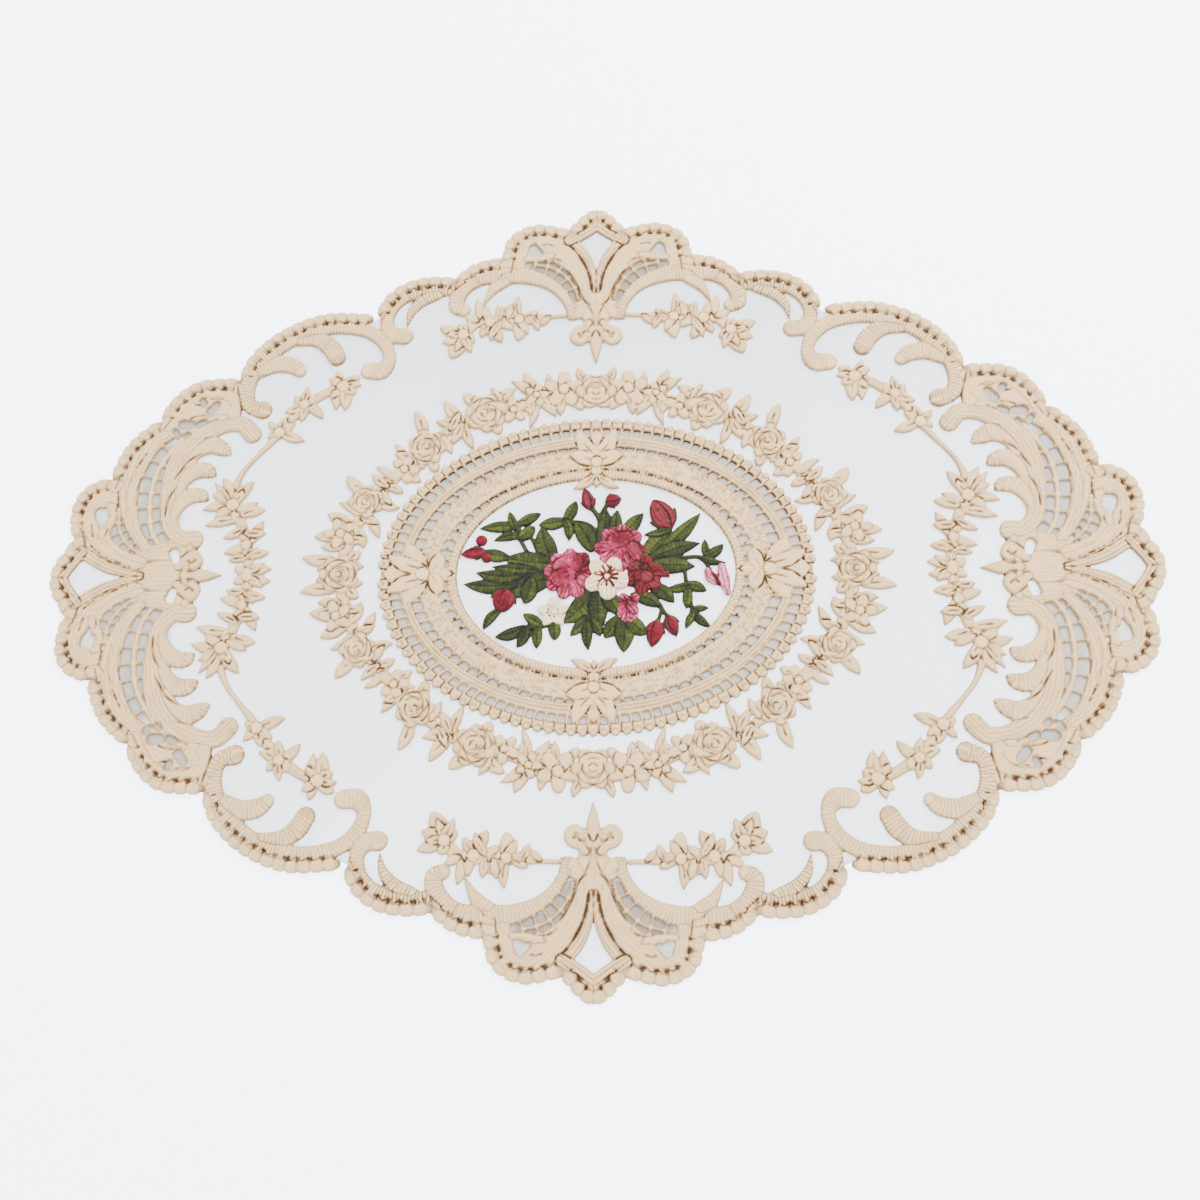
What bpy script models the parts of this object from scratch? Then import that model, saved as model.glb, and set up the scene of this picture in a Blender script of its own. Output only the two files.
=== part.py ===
# Oval lace table mat: a sheer ground with raised scrollwork, leafy sprigs, a flower wreath,
# a ladder-stitched oval frame and a coloured bouquet, all lying flat.
# The tables are in millimetres, seen from above, and MM turns them into metres.

import math
from collections import namedtuple

import bpy
import numpy as np
from mathutils import Vector
from mathutils.geometry import delaunay_2d_cdt

MM = 0.001

# Driving dimensions
GROUND_THICK = 1.0
LAYER_GAP = 0.3
LACE_THICK = 1.4
SPRIG_THICK = 1.2
WREATH_THICK = 1.3
FRAME_THICK = 1.4
BOUQUET_THICK = 1.3
SIDE_GAP = 0.35
BEAD_PITCH = 5.0
BEAD_HALF = 2.5
BEAD_VALLEY = 1.25
VALLEY_TIE = 4.0
GROUND_INSET = 1.6
PATH_STEP = 4.5
CROSSING_BAR = 1.3
SMALL_GAP = 3.5
BRIDGE = 0.7
SHAPE_ERROR = 0.45
GROUND_ERROR = 1.0
BOUQUET_ERROR = 0.2
MERGE = 0.00005

Scroll = namedtuple("Scroll", "name path")
Ladder = namedtuple("Ladder", "name cord cord_width reach pitch")
Leaf = namedtuple("Leaf", "x y tip_x tip_y width")
Bloom = namedtuple("Bloom", "name x y radius petals depth turn")
Bud = namedtuple("Bud", "name x y tip_x tip_y width")
Oval = namedtuple("Oval", "name inner_a inner_b outer_a outer_b")
Rungs = namedtuple("Rungs", "name inner outer count first_deg last_deg")
Thread = namedtuple("Thread", "name color roughness")

# One quarter of the edging, from the short end to the long end: the line through the
# middles of its beads, one row for each scallop, as x, y.
SCALLOPS = {
    "crest_tip": [(0, 164.4), (4.2, 162.4), (7.6, 158.6), (10.6, 155.6)],
    "crest_curl": [(12.6, 154.6), (18, 156), (25, 157.2), (31.5, 155.6), (36.6, 151.6),
                   (38.4, 146.5), (39, 142)],
    "arm": [(41.6, 141.2), (48, 140.3), (54, 137.8), (59.4, 133.4)],
    "small_arch": [(62.4, 132.2), (69, 132.8), (77, 132.2), (84, 129.6), (89.8, 124.8),
                   (93.2, 118.4)],
    "long_arch": [(98.2, 115.6), (105, 116.3), (112, 116.6), (119, 116), (127, 113.4),
                  (135, 109.3), (142, 103.8), (147.6, 97.2), (150.8, 89.6)],
    "shoulder": [(154, 86.4), (161, 86.4), (168, 85.8), (174, 83), (179.2, 77.8),
                 (183, 71.2)],
    "flank": [(186, 67.2), (191, 63.2), (196, 57.8), (199.4, 51.3), (201.6, 44.6)],
    "end_curl": [(204.8, 41.4), (210.4, 39.5), (214.7, 35.4), (216.7, 30), (216.7, 24),
                 (215.4, 18.5)],
    "end_tip": [(215.6, 14), (218.4, 9.6), (221.4, 5.2), (222.5, 0)],
}

# The scrolls of one quarter: x, y and full width at each point of the line.
SCROLLS = [
    Scroll("crest_body", [(0, 142, 3.6), (0, 133, 5.6), (0, 126, 9), (0, 120, 13),
                          (0, 115, 12), (0, 110, 7.5), (0, 105, 5)]),
    Scroll("crest_volute", [(3, 111, 3.2), (5.2, 108.8, 3.2), (8.4, 107.4, 3.2),
                            (9.3, 104.6, 3.2), (7.2, 102.4, 3.2), (5, 103.6, 2.8)]),
    Scroll("crest_frame_side", [(1.6, 131, 2.4), (2.2, 137, 3.6), (4.6, 143.5, 4.4),
                                (8, 148.5, 4.6), (11, 151.3, 4.2)]),
    Scroll("crest_frame_point", [(10.5, 151.6, 4.2), (5.5, 155.2, 4.4), (0, 159.5, 4.6)]),
    Scroll("crest_curl", [(4.2, 122, 3.2), (6, 129, 4.6), (9, 136, 6.8), (13, 143, 8.2),
                          (18.5, 149, 8.4), (25.5, 151.8, 7.4), (31.5, 149.6, 8.6),
                          (32.4, 144, 9.4)]),
    Scroll("crest_burst", [(16, 144, 6), (20.5, 141.8, 5), (24.6, 137.6, 2.2)]),
    Scroll("arm", [(9.2, 115.6, 5), (10.2, 121.4, 5), (14.2, 128, 6.2), (21.5, 133, 7.4),
                   (30.5, 134.8, 8.2), (40, 135.2, 8.4), (48.6, 134.6, 7.6),
                   (55.4, 131.4, 7.2), (59.6, 126, 7), (60.4, 120.6, 6.6),
                   (57.2, 118.6, 6)]),
    Scroll("arm_thorn", [(40, 132.4, 6), (45, 127.8, 4.2), (48.6, 121.4, 0.8)]),
    Scroll("small_arch", [(82.6, 107, 7.6), (86.6, 107.4, 7), (90.2, 111.8, 6),
                          (89.8, 118.6, 6.2), (85.2, 124.8, 6.4), (77.6, 128.4, 6.2),
                          (69, 128.8, 6), (61.5, 128.6, 5)]),
    Scroll("small_thorn", [(69, 127, 5), (76, 123.4, 4.6), (80.2, 118, 3), (81.4, 112.6, 0.8)]),
    Scroll("long_arch", [(97, 91, 7.4), (91.5, 91.2, 8), (88.6, 96.4, 5.6), (91, 103.6, 6),
                         (97.6, 109.2, 6.2), (106.5, 111.8, 6.2), (116, 112, 6.4),
                         (126, 109.6, 6.8), (135.2, 104.8, 7.2), (142.8, 98, 7.6),
                         (147.6, 90, 7), (149, 82, 6.2), (147, 75.6, 6.4),
                         (141.5, 73.6, 8)]),
    Scroll("long_comma", [(111.4, 97.6, 7.6), (114.6, 102.6, 8), (120.5, 106, 6.4),
                          (128, 106.2, 5)]),
    Scroll("short_comma", [(127, 91.6, 5.6), (130.6, 94.2, 7.4), (137, 95, 7.6),
                           (144, 92, 6)]),
    Scroll("shoulder_curl", [(154.6, 72.4, 7), (154.8, 77.4, 7.6), (160, 81, 7.6),
                             (167, 81.8, 7.4), (173.6, 78.6, 8.8), (178.4, 72.4, 9.4),
                             (180.8, 65.6, 8)]),
    Scroll("shoulder_web", [(156.5, 72, 5), (163.5, 70.6, 4), (170.6, 68.8, 3.6), (177, 64.6, 4)]),
    Scroll("fan_inner", [(166, 15.6, 8.6), (171.5, 16.6, 7), (176, 21.5, 6.6),
                         (178, 29, 6.6), (178.3, 38, 7.4), (176.8, 47.5, 8.6),
                         (172.6, 56.5, 8.8), (165.5, 63, 7.8), (157, 66.8, 6.8),
                         (149.5, 67, 7.4), (145, 62.6, 8)]),
    Scroll("feather_low", [(156, 57, 5.6), (161, 58.6, 6.4), (167.5, 56, 6.4), (173.5, 50, 5)]),
    Scroll("feather_mid", [(161.5, 47, 5.4), (166, 48, 6.6), (171.5, 44.5, 6.6),
                           (176, 37.5, 5)]),
    Scroll("feather_high", [(163.8, 36, 5), (168.5, 36, 6.4), (173, 32.5, 6), (176.5, 26, 4.5)]),
    Scroll("flank_curl", [(182, 9.4, 3.6), (187.4, 15.5, 4.6), (191.6, 23.5, 6),
                          (194.2, 33, 7.4), (195.4, 42.5, 8.2), (193.8, 51, 8.4),
                          (189.4, 57.6, 8), (183.4, 61, 6.6)]),
    Scroll("end_curl", [(186, 3.8, 3.6), (193, 5.6, 5.4), (200, 9.4, 7), (206, 15.4, 8.6),
                        (210.6, 22.4, 9), (211.2, 30, 9), (206.4, 34.8, 9),
                        (202.2, 31.5, 7)]),
    Scroll("end_frame_side", [(186, 0.5, 2), (194, 2, 3.2), (202.5, 5, 4.2),
                              (212.3, 10.6, 4.4)]),
    Scroll("end_frame_point", [(212.5, 10.4, 4.4), (217, 5.2, 4.4), (220.5, 0, 4.6)]),
    Scroll("hub", [(190, 0, 5.5), (184, 0, 10), (178, 0, 13.5), (171, 0, 11), (165.5, 0, 6)]),
    Scroll("hub_volute", [(170, 4, 4), (167.5, 6.6, 4.2), (164.8, 8.3, 4), (163.4, 5.6, 3.4),
                          (165, 3.6, 2.6)]),
    Scroll("hub_link", [(167.2, 8, 3.4), (167, 13, 4)]),
    Scroll("hub_tie", [(175, 14.5, 2.4), (179.5, 11, 2.2), (184, 8.5, 2.4)]),
]

CREST_LEAF = Leaf(0, 106.5, 0, 93.2, 6.4)
HUB_LEAF = Leaf(167.5, 0, 153.6, 0, 6.6)

# Open ladders of one quarter: bars that reach into the scrolls on both sides, the large
# one over a cord. The two small ones are cut at a wider pitch than the stitches.
LADDERS = [
    Ladder("crest", [(7.6, 123.5), (10.2, 130), (14.5, 135.7), (20.5, 139.8)], 0, 4.2, 5.6),
    Ladder("fan", [(179, 12), (183.6, 19), (185.7, 28), (186, 37), (184.3, 45.5),
                   (180.6, 53), (175.4, 60)], 1.7, 5.8, 6.4),
    Ladder("end", [(184, 7.2), (189.5, 10), (194.2, 14.2), (197.8, 20.4)], 0, 4.2, 5.6),
]

# The sprig beside each crest, in the first quarter.
CREST_SPRIG_STEM = [(13.4, 114.9, 1.8), (20, 114.6, 2.2), (26, 113.9, 4.2), (32, 113.4, 6),
                    (43, 113.4, 6), (51, 113, 6), (57, 107, 5)]
CREST_SPRIG_LEAVES = [
    Leaf(33, 113, 33.5, 103.6, 6.5), Leaf(33, 114, 33.6, 125, 4.6), Leaf(31, 114, 25, 117.4, 4.4),
    Leaf(34, 115, 40, 119.2, 5), Leaf(41, 114, 42, 121, 4), Leaf(46, 111, 40.4, 103, 6),
    Leaf(42, 112, 35.6, 108.6, 4), Leaf(46, 111, 49.4, 105.6, 4.4), Leaf(50.5, 114, 51.6, 123.6, 4.6),
    Leaf(57, 107, 62, 96, 8.4), Leaf(57, 106, 67.4, 110.6, 6.4), Leaf(57, 107, 52, 103.6, 5),
    Leaf(57, 106, 66, 103.4, 6), Leaf(56, 108, 59, 111.6, 4.6),
]

# The long sprig inside each end, in the first quarter; it goes on over the long axis.
END_SPRIG_STEM = [(107, 84, 5), (114, 81.6, 4.6), (123, 75.6, 5.4), (129, 69, 4.4), (133, 63.6, 4.6),
                  (136.8, 58.4, 3), (142, 52.4, 2), (147.4, 45.4, 2.2), (150.4, 37, 3.6),
                  (150, 29.6, 5.4), (146, 22, 4.6), (143.4, 13, 5), (142, 6, 4.4), (141.6, 0, 5)]
END_SPRIG_LEAVES = [
    Leaf(107, 84, 106.4, 72.8, 6), Leaf(112, 81, 110.2, 73, 4), Leaf(107, 83, 102, 80.8, 4.6),
    Leaf(107, 85, 101, 88.4, 5), Leaf(109, 84, 110.6, 91.4, 4.4), Leaf(108, 84, 114, 87.4, 4.6),
    Leaf(123, 76, 115.6, 69.2, 5), Leaf(123, 76, 119.4, 79.6, 5.4), Leaf(124, 76, 132, 72.6, 5),
    Leaf(124, 76, 128, 80, 4.4), Leaf(133, 63, 122.4, 59, 5.4), Leaf(133, 64, 131, 70.4, 4.4),
    Leaf(134, 63, 138.6, 68.2, 4), Leaf(150.4, 30, 163, 28.6, 5.4), Leaf(148, 24, 161.6, 21.6, 5),
    Leaf(151, 32, 155.8, 43, 4.8), Leaf(150, 32, 142.6, 41, 5.6), Leaf(152, 31, 159.6, 35.6, 4.6),
    Leaf(146, 26, 136.6, 28.2, 5.4), Leaf(143, 13, 137, 23.6, 5.4), Leaf(143.4, 13, 152.6, 9.6, 4.8),
    Leaf(143, 14, 147.4, 21.6, 5), Leaf(142, 7, 138.6, 12, 4), Leaf(141.6, 1, 132.2, 2.6, 4.8),
    Leaf(142, 1, 147.4, 3.6, 4.6),
]

# The flower wreath, in the first quarter. A vine under the flowers holds them together.
WREATH_VINE = [(0, 79.5, 6), (13, 79.5, 5.5), (25, 77, 5), (36, 73, 5), (46, 70.5, 6), (56, 66.5, 5),
               (65, 60.5, 5), (71, 55, 6), (79, 46.5, 5), (86, 38.5, 5), (93, 31.5, 6), (98.5, 20, 6),
               (102, 10, 6), (103.5, 0, 6)]
WREATH_BLOOMS = [
    Bloom("rose", 0, 79.5, 8.2, 6, 0.07, 0), Bloom("daisy", 13.6, 80.4, 6.8, 5, 0.16, 20),
    Bloom("daisy", 34.6, 71.6, 4.8, 5, 0.24, 10), Bloom("rose", 46.4, 70.4, 8.4, 7, 0.06, 5),
    Bloom("rose", 70.8, 55.2, 7.8, 7, 0.06, 25), Bloom("daisy", 79.4, 45.6, 5, 5, 0.22, 40),
    Bloom("rose", 95, 31.6, 7.2, 7, 0.07, 0), Bloom("daisy", 104.6, 17.6, 5.4, 5, 0.2, 0),
    Bloom("rose", 104, 0, 8, 7, 0.06, 0),
]
WREATH_LEAVES = [
    Leaf(10, 76, 5.6, 71.2, 4.4), Leaf(14, 76, 15.2, 68.6, 3.8), Leaf(25, 77, 28, 63.4, 4.2),
    Leaf(25, 77, 16.8, 68.2, 4.8), Leaf(25, 78, 30.4, 88.8, 6), Leaf(25, 78, 18.4, 80.2, 4.8),
    Leaf(26, 77, 36, 84.8, 4.8), Leaf(43, 66, 40.6, 61, 5.4), Leaf(50, 74, 56.2, 79.2, 6),
    Leaf(42, 75, 34.2, 81, 5.6), Leaf(56, 67, 64, 76.6, 6), Leaf(57, 66, 67.4, 67, 5),
    Leaf(55, 65, 51, 54.4, 4.6), Leaf(56, 65, 61.2, 56.2, 4.4), Leaf(72, 60, 76.4, 72, 6),
    Leaf(68, 50, 66.4, 44.4, 5.2), Leaf(79, 48, 84, 57, 4.6), Leaf(79, 45, 72.4, 40.2, 5),
    Leaf(86, 38, 79.6, 35.2, 4.4), Leaf(86, 38, 92.8, 44, 4.6), Leaf(96, 36, 103.2, 43.2, 6),
    Leaf(90, 31, 80.6, 28.8, 4.6), Leaf(93, 26, 88.4, 15.6, 4.8), Leaf(98, 20, 94.6, 11.4, 5.4),
    Leaf(100, 21, 110.4, 26.4, 6.4), Leaf(105, 17, 115.4, 16.4, 5.6), Leaf(107, 7, 119.8, 7.4, 6),
    Leaf(100, 6, 96, 9.8, 5),
]

# The oval frame round the bouquet: bands between two ovals, given by their half axes.
OVALS = [
    Oval("dense_band", 56, 40, 71.8, 53.4),
    Oval("cord", 76.4, 56.4, 79, 58.8),
    Oval("outer_rim", 84, 62.6, 87.2, 65.2),
]
# Bars of the two ladders of the frame in one quarter, by the angle round the oval, at
# twice the pitch of the stitches. Beside the long sides the bands are stitched together.
RUNGS = [
    Rungs("middle", "dense_band", "cord", 7, 14, 66),
    Rungs("outer", "cord", "outer_rim", 10, 12, 78),
]
SLITS = {"middle": 66, "outer": 78}
RUNG_WIDTH = 1.5
FRAME_STEPS = 22
PICOTS = 22
PICOT_RISE = 1.0
FRAME_CROSSES = [
    Leaf(0, 47, 0, 60.6, 9), Leaf(0, 46, 0, 36.4, 7), Leaf(1, 41, 9.4, 36, 4.4),
    Leaf(0, 50, 7, 57.6, 7), Leaf(0, 48, 10, 50, 8),
    Leaf(70, 0, 57.6, 0, 8), Leaf(70, 0, 86, 0, 10), Leaf(69, 1, 77, 12.4, 8),
    Leaf(69, 2, 84.6, 8, 7), Leaf(66, 1, 63.4, 8.6, 7),
]

# The bouquet, over the whole oval; up is away from the front.
BOUQUET_BLOOMS = [
    Bloom("rose_left", -10.4, -0.4, 11.4, 7, 0.05, 10), Bloom("rose_right", 9.8, 9.4, 10, 7, 0.05, 40),
    Bloom("rose_red", 19.6, -2, 8, 6, 0.06, 0), Bloom("pansy", 4.4, -2.6, 8.4, 5, 0.08, 54),
    Bloom("blossom_pink", 13.4, -14.4, 6.2, 5, 0.1, 50), Bloom("blossom_cream", -16.6, -16.8, 6.6, 5, 0.16, 90),
    Bloom("blossom_pale", 48.4, -3.6, 5, 5, 0.12, 0),
]
BOUQUET_BUDS = [
    Bud("bud_top_left", -2.8, 28, -5, 36, 5.2), Bud("bud_top_right", 4.6, 30, 10, 31.4, 5.6),
    Bud("bud_large", 28, 19.4, 22.6, 30.6, 9.4), Bud("bud_left", -36, -8.4, -38.4, -16, 8.6),
    Bud("bud_far_left", -45.6, 10.4, -54.6, 8.2, 5.4), Bud("bud_drop", 24.6, -21.6, 22.6, -31.4, 6.8),
    Bud("bud_small", 29.2, -19.4, 32.4, -27.2, 5.6),
]
BOUQUET_LEAVES = [
    Leaf(-32, 20.4, -47.4, 19.4, 5), Leaf(-32, 21, -22.6, 25.6, 4.6), Leaf(-33, 19, -35.6, 26.6, 3.6),
    Leaf(-30, 16, -41.6, 14, 4), Leaf(-31, 15, -25.2, 20, 5.2), Leaf(-17, 4, -22.2, 19.4, 8.6),
    Leaf(-19, 4, -36.4, 6.4, 9.4), Leaf(-12.6, 22, -23.4, 20.6, 5.6), Leaf(-12.6, 22, -8.2, 30.6, 5),
    Leaf(-12.4, 22, -11, 13.6, 4), Leaf(-2, 10, -8.6, 21.4, 7.6), Leaf(1.6, 12, 4, 27, 6),
    Leaf(8, 14, 8.6, 26.4, 5.6), Leaf(11, 14, 19.2, 24.6, 6), Leaf(19, 4, 30, 18.4, 9),
    Leaf(27, 9, 42.4, 24.2, 6), Leaf(30, 17, 19.4, 15.4, 3.6), Leaf(22, 5, 42, 11.4, 6.6),
    Leaf(22, 2, 40, 1.6, 7), Leaf(44.6, 5.4, 44, 13, 3.4), Leaf(44.4, 5.6, 51.4, 10.8, 4.4),
    Leaf(42, 5, 52.4, 3, 3), Leaf(38, -6, 28.4, -7.6, 4), Leaf(36, -6, 44.4, -8.8, 4.6),
    Leaf(37, -7.6, 36.4, -16, 4.2), Leaf(38.6, -16.4, 45.2, -15.8, 3), Leaf(38.4, -17, 46, -23.8, 3.8),
    Leaf(39.4, -17, 36, -24.2, 3.4), Leaf(22, -6, 31.6, -13.4, 6), Leaf(15, -10, 26.4, -15.2, 5.8),
    Leaf(0, -7, -12.4, -21, 9), Leaf(1, -7, 1.8, -24.2, 8), Leaf(4, -8, 9.6, -17.6, 7),
    Leaf(-2.6, -19, -9.8, -26.4, 4.6), Leaf(-2.6, -20, 2.4, -26.6, 4.6), Leaf(-2.8, -20, -2.4, -32.4, 4.6),
    Leaf(12, -19, 4, -27.4, 7), Leaf(12, -18, 11.6, -33.4, 8), Leaf(13, -19, 20.4, -26.2, 6.6),
    Leaf(-28.4, -22.6, -39.8, -26.4, 5.2), Leaf(-27, -22.6, -31, -30.8, 4.6), Leaf(-22.6, -22, -23, -31.4, 4.4),
    Leaf(-17, -20, -16, -28, 5.2), Leaf(-21, -22, -28.8, -17, 4.6), Leaf(-19, -3, -37, -9.4, 10),
    Leaf(-26, -3, -28.4, -12.6, 6.6), Leaf(-33, -5, -53.2, -4.2, 6.4), Leaf(-30, -1, -48.4, 0.6, 6),
    Leaf(-24, 1, -42, 3, 4.4), Leaf(-38.2, -15, -44.6, -23.4, 4.2), Leaf(-36, 7, -46, 9.6, 5.6),
]
BOUQUET_STEMS = [
    [(-31.6, 21, 1.7), (-31, 15, 1.7), (-26, 6, 1.7)], [(-26, 14.6, 1.5), (-22.6, 7, 1.5)],
    [(-13, 22, 1.7), (-4, 20.6, 1.9), (1.4, 16, 1.9)], [(-2.4, 28.4, 1.8), (1.4, 22, 2.2), (1.8, 14, 2.4)],
    [(5, 29.8, 1.8), (2.2, 25, 1.8), (1.8, 20, 2)], [(28.4, 19.4, 1.6), (28, 14, 1.8)],
    [(33, 5, 1.9), (42, 5.4, 1.7), (46, 0, 1.5)], [(35.4, 3, 1.7), (36.8, -8, 1.7), (39, -17.4, 1.7)],
    [(23, -12.6, 1.6), (26.4, -15.4, 1.6), (24.8, -22, 1.5)], [(25.4, -14, 1.6), (29.4, -19.8, 1.5)],
    [(0.6, -16, 1.8), (-2.8, -22, 1.8)], [(13, -18, 2.4), (12.4, -22, 3)],
    [(-15.8, -20.8, 1.6), (-22, -22.4, 1.7), (-30, -22.8, 1.6)], [(-37, -13.6, 1.7), (-39.6, -17, 1.7)],
    [(-44, 9.2, 1.7), (-34, 6.2, 1.7)],
]

THREADS = {
    "sheer": Thread("sheer_fabric", (0.86, 0.87, 0.86, 1.0), 0.6),
    "beige": Thread("beige_thread", (0.78, 0.66, 0.50, 1.0), 0.75),
    "green": Thread("green_thread", (0.16, 0.20, 0.05, 1.0), 0.7),
    "pink": Thread("pink_thread", (0.72, 0.22, 0.33, 1.0), 0.65),
    "red": Thread("red_thread", (0.50, 0.02, 0.07, 1.0), 0.65),
    "cream": Thread("cream_thread", (0.86, 0.78, 0.64, 1.0), 0.7),
}
BLOOM_THREAD = {"rose_left": "pink", "rose_right": "pink", "rose_red": "red", "pansy": "cream",
                "blossom_pink": "pink", "blossom_cream": "cream", "blossom_pale": "pink"}

QUARTERS = {"right_far": (1, 1), "left_far": (-1, 1), "left_near": (-1, -1), "right_near": (1, -1)}
FAR_AWAY = 400.0


def clear_scene():
    for old in list(bpy.data.objects):
        bpy.data.objects.remove(old, do_unlink=True)


def thread_material(key):
    """One matt thread colour, made once and shared."""
    thread = THREADS[key]
    material = bpy.data.materials.get(thread.name)
    if material is None:
        material = bpy.data.materials.new(thread.name)
        material.use_nodes = True
        shader = material.node_tree.nodes["Principled BSDF"]
        shader.inputs["Base Color"].default_value = thread.color
        shader.inputs["Roughness"].default_value = thread.roughness
        shader.inputs["Metallic"].default_value = 0.0
    return material


def smooth_line(rows, step):
    """Points about a step apart on a smooth line through the rows, every column alike."""
    rows = np.array(rows, float)
    ends = np.vstack([2 * rows[0] - rows[1], rows, 2 * rows[-1] - rows[-2]])
    line = [rows[0]]
    for before, start, end, after in zip(ends, ends[1:], ends[2:], ends[3:]):
        span = np.linalg.norm(end[:2] - start[:2])
        count = max(1, round(span / step))
        t = np.linspace(0, 1, count + 1)[1:, None]
        leave, arrive = (end - before) / 2, (after - start) / 2
        line.extend((2 * t**3 - 3 * t**2 + 1) * start + (t**3 - 2 * t**2 + t) * leave
                    + (3 * t**2 - 2 * t**3) * end + (t**3 - t**2) * arrive)
    return np.array(line)


def normals_of(line):
    """Unit normals of a line, to its left."""
    along = np.gradient(line[:, :2], axis=0)
    along /= np.linalg.norm(along, axis=1)[:, None]
    return np.column_stack([-along[:, 1], along[:, 0]])


def disc(x, y, radius, sides=9):
    turns = np.linspace(0, 2 * math.pi, sides, endpoint=False)
    return np.column_stack([x + radius * np.cos(turns), y + radius * np.sin(turns)])


def untwisted(corners):
    """The same corners put in order round their middle, so that no two sides cross."""
    corners = np.array(corners)
    reach = corners - corners.mean(0)
    return corners[np.arctan2(reach[:, 1], reach[:, 0]).argsort()]


def scroll_outlines(path, grow=0.0, step=PATH_STEP):
    """A scroll as quads along its line, with a disc at each blunt end."""
    line = smooth_line(path, step)
    half = np.maximum(line[:, 2], 0.6) / 2 + grow
    side = normals_of(line) * half[:, None]
    left, right = line[:, :2] + side, line[:, :2] - side
    outlines = [untwisted(quad) for quad in zip(left, right, right[1:], left[1:])]
    for end, reach in ((0, half[0]), (-1, half[-1])):
        if reach > 1.2:
            outlines.append(disc(*line[end, :2], reach))
    return outlines


def leaf_outline(leaf, grow=0.0):
    """A pointed leaf: widest near the middle, drawn in at the root."""
    root, tip = np.array([leaf.x, leaf.y], float), np.array([leaf.tip_x, leaf.tip_y], float)
    along = (tip - root) / np.linalg.norm(tip - root)
    across = np.array([-along[1], along[0]])
    root, tip = root - along * grow, tip + along * grow
    half = leaf.width / 2 + grow
    profile = [(0.0, 0.45), (0.45, 1.0)]
    left = [root + (tip - root) * t + across * half * w for t, w in profile]
    right = [root + (tip - root) * t - across * half * w for t, w in profile]
    return np.array([*left, tip, *right[::-1]])


def bloom_outline(bloom, grow=0.0, points_per_petal=4):
    """A round flower whose rim dips between its petals."""
    turns = np.linspace(0, 2 * math.pi, bloom.petals * points_per_petal, endpoint=False)
    rim = bloom.radius * (1 - bloom.depth + bloom.depth * np.cos(bloom.petals * turns)) + grow
    turns = turns + math.radians(bloom.turn)
    return np.column_stack([bloom.x + rim * np.cos(turns), bloom.y + rim * np.sin(turns)])


def bud_outline(bud, grow=0.0):
    """A rose bud: round below, drawn to a blunt tip."""
    root, tip = np.array([bud.x, bud.y], float), np.array([bud.tip_x, bud.tip_y], float)
    along = (tip - root) / np.linalg.norm(tip - root)
    across = np.array([-along[1], along[0]])
    root, tip = root - along * grow, tip + along * grow
    half = bud.width / 2 + grow
    profile = [(0.0, 0.45), (0.3, 1.0), (0.74, 0.72), (1.0, 0.16)]
    left = [root + (tip - root) * t + across * half * w for t, w in profile]
    right = [root + (tip - root) * t - across * half * w for t, w in profile]
    return np.array([*left, *right[::-1]])


def bead_outlines(points):
    """The beaded edge of one scallop: cells side by side, each coming to a blunt point."""
    line = smooth_line(points, BEAD_PITCH)
    outward = normals_of(line)
    outward = outward * np.sign((outward * line).sum())
    cells = []
    for start, end, a, b in zip(line, line[1:], outward, outward[1:]):
        crest = (start + end) / 2 + (a + b) / np.linalg.norm(a + b) * BEAD_HALF
        cells.append(untwisted([start - a * BEAD_HALF, start + a * BEAD_VALLEY, crest,
                                end + b * BEAD_VALLEY, end - b * BEAD_HALF]))
    for end in (line[0], line[-1]):
        cells.append(disc(*end, BEAD_HALF * 0.8, 7))
    return cells


def ladder_outlines(ladder):
    """A cord along the middle of an open channel, and the bars that cross it."""
    cord = [(x, y, ladder.cord_width) for x, y in ladder.cord]
    outlines = scroll_outlines(cord) if ladder.cord_width else []
    line = smooth_line(ladder.cord, 1.0)
    lengths = np.append(0, np.cumsum(np.linalg.norm(np.diff(line, axis=0), axis=1)))
    count = round(lengths[-1] / ladder.pitch)
    sides = normals_of(line)
    for place in np.linspace(0, lengths[-1], count + 1)[1:]:
        nearest = np.abs(lengths - place).argmin()
        middle, side = line[nearest], sides[nearest]
        along = np.array([side[1], -side[0]]) * CROSSING_BAR / 2
        ends = middle + side * ladder.reach, middle - side * ladder.reach
        outlines.append(np.array([ends[0] - along, ends[0] + along, ends[1] + along, ends[1] - along]))
    return outlines


def oval_point(a, b, turn):
    return np.column_stack([a * np.cos(turn), b * np.sin(turn)])


def band_outlines(inner, outer, first, last, steps):
    """Quads between two ovals, from one angle to another."""
    turns = np.radians(np.linspace(first, last, steps + 1))
    near, far = oval_point(*inner, turns), oval_point(*outer, turns)
    return [np.array(quad) for quad in zip(near, far, far[1:], near[1:])]


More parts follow.
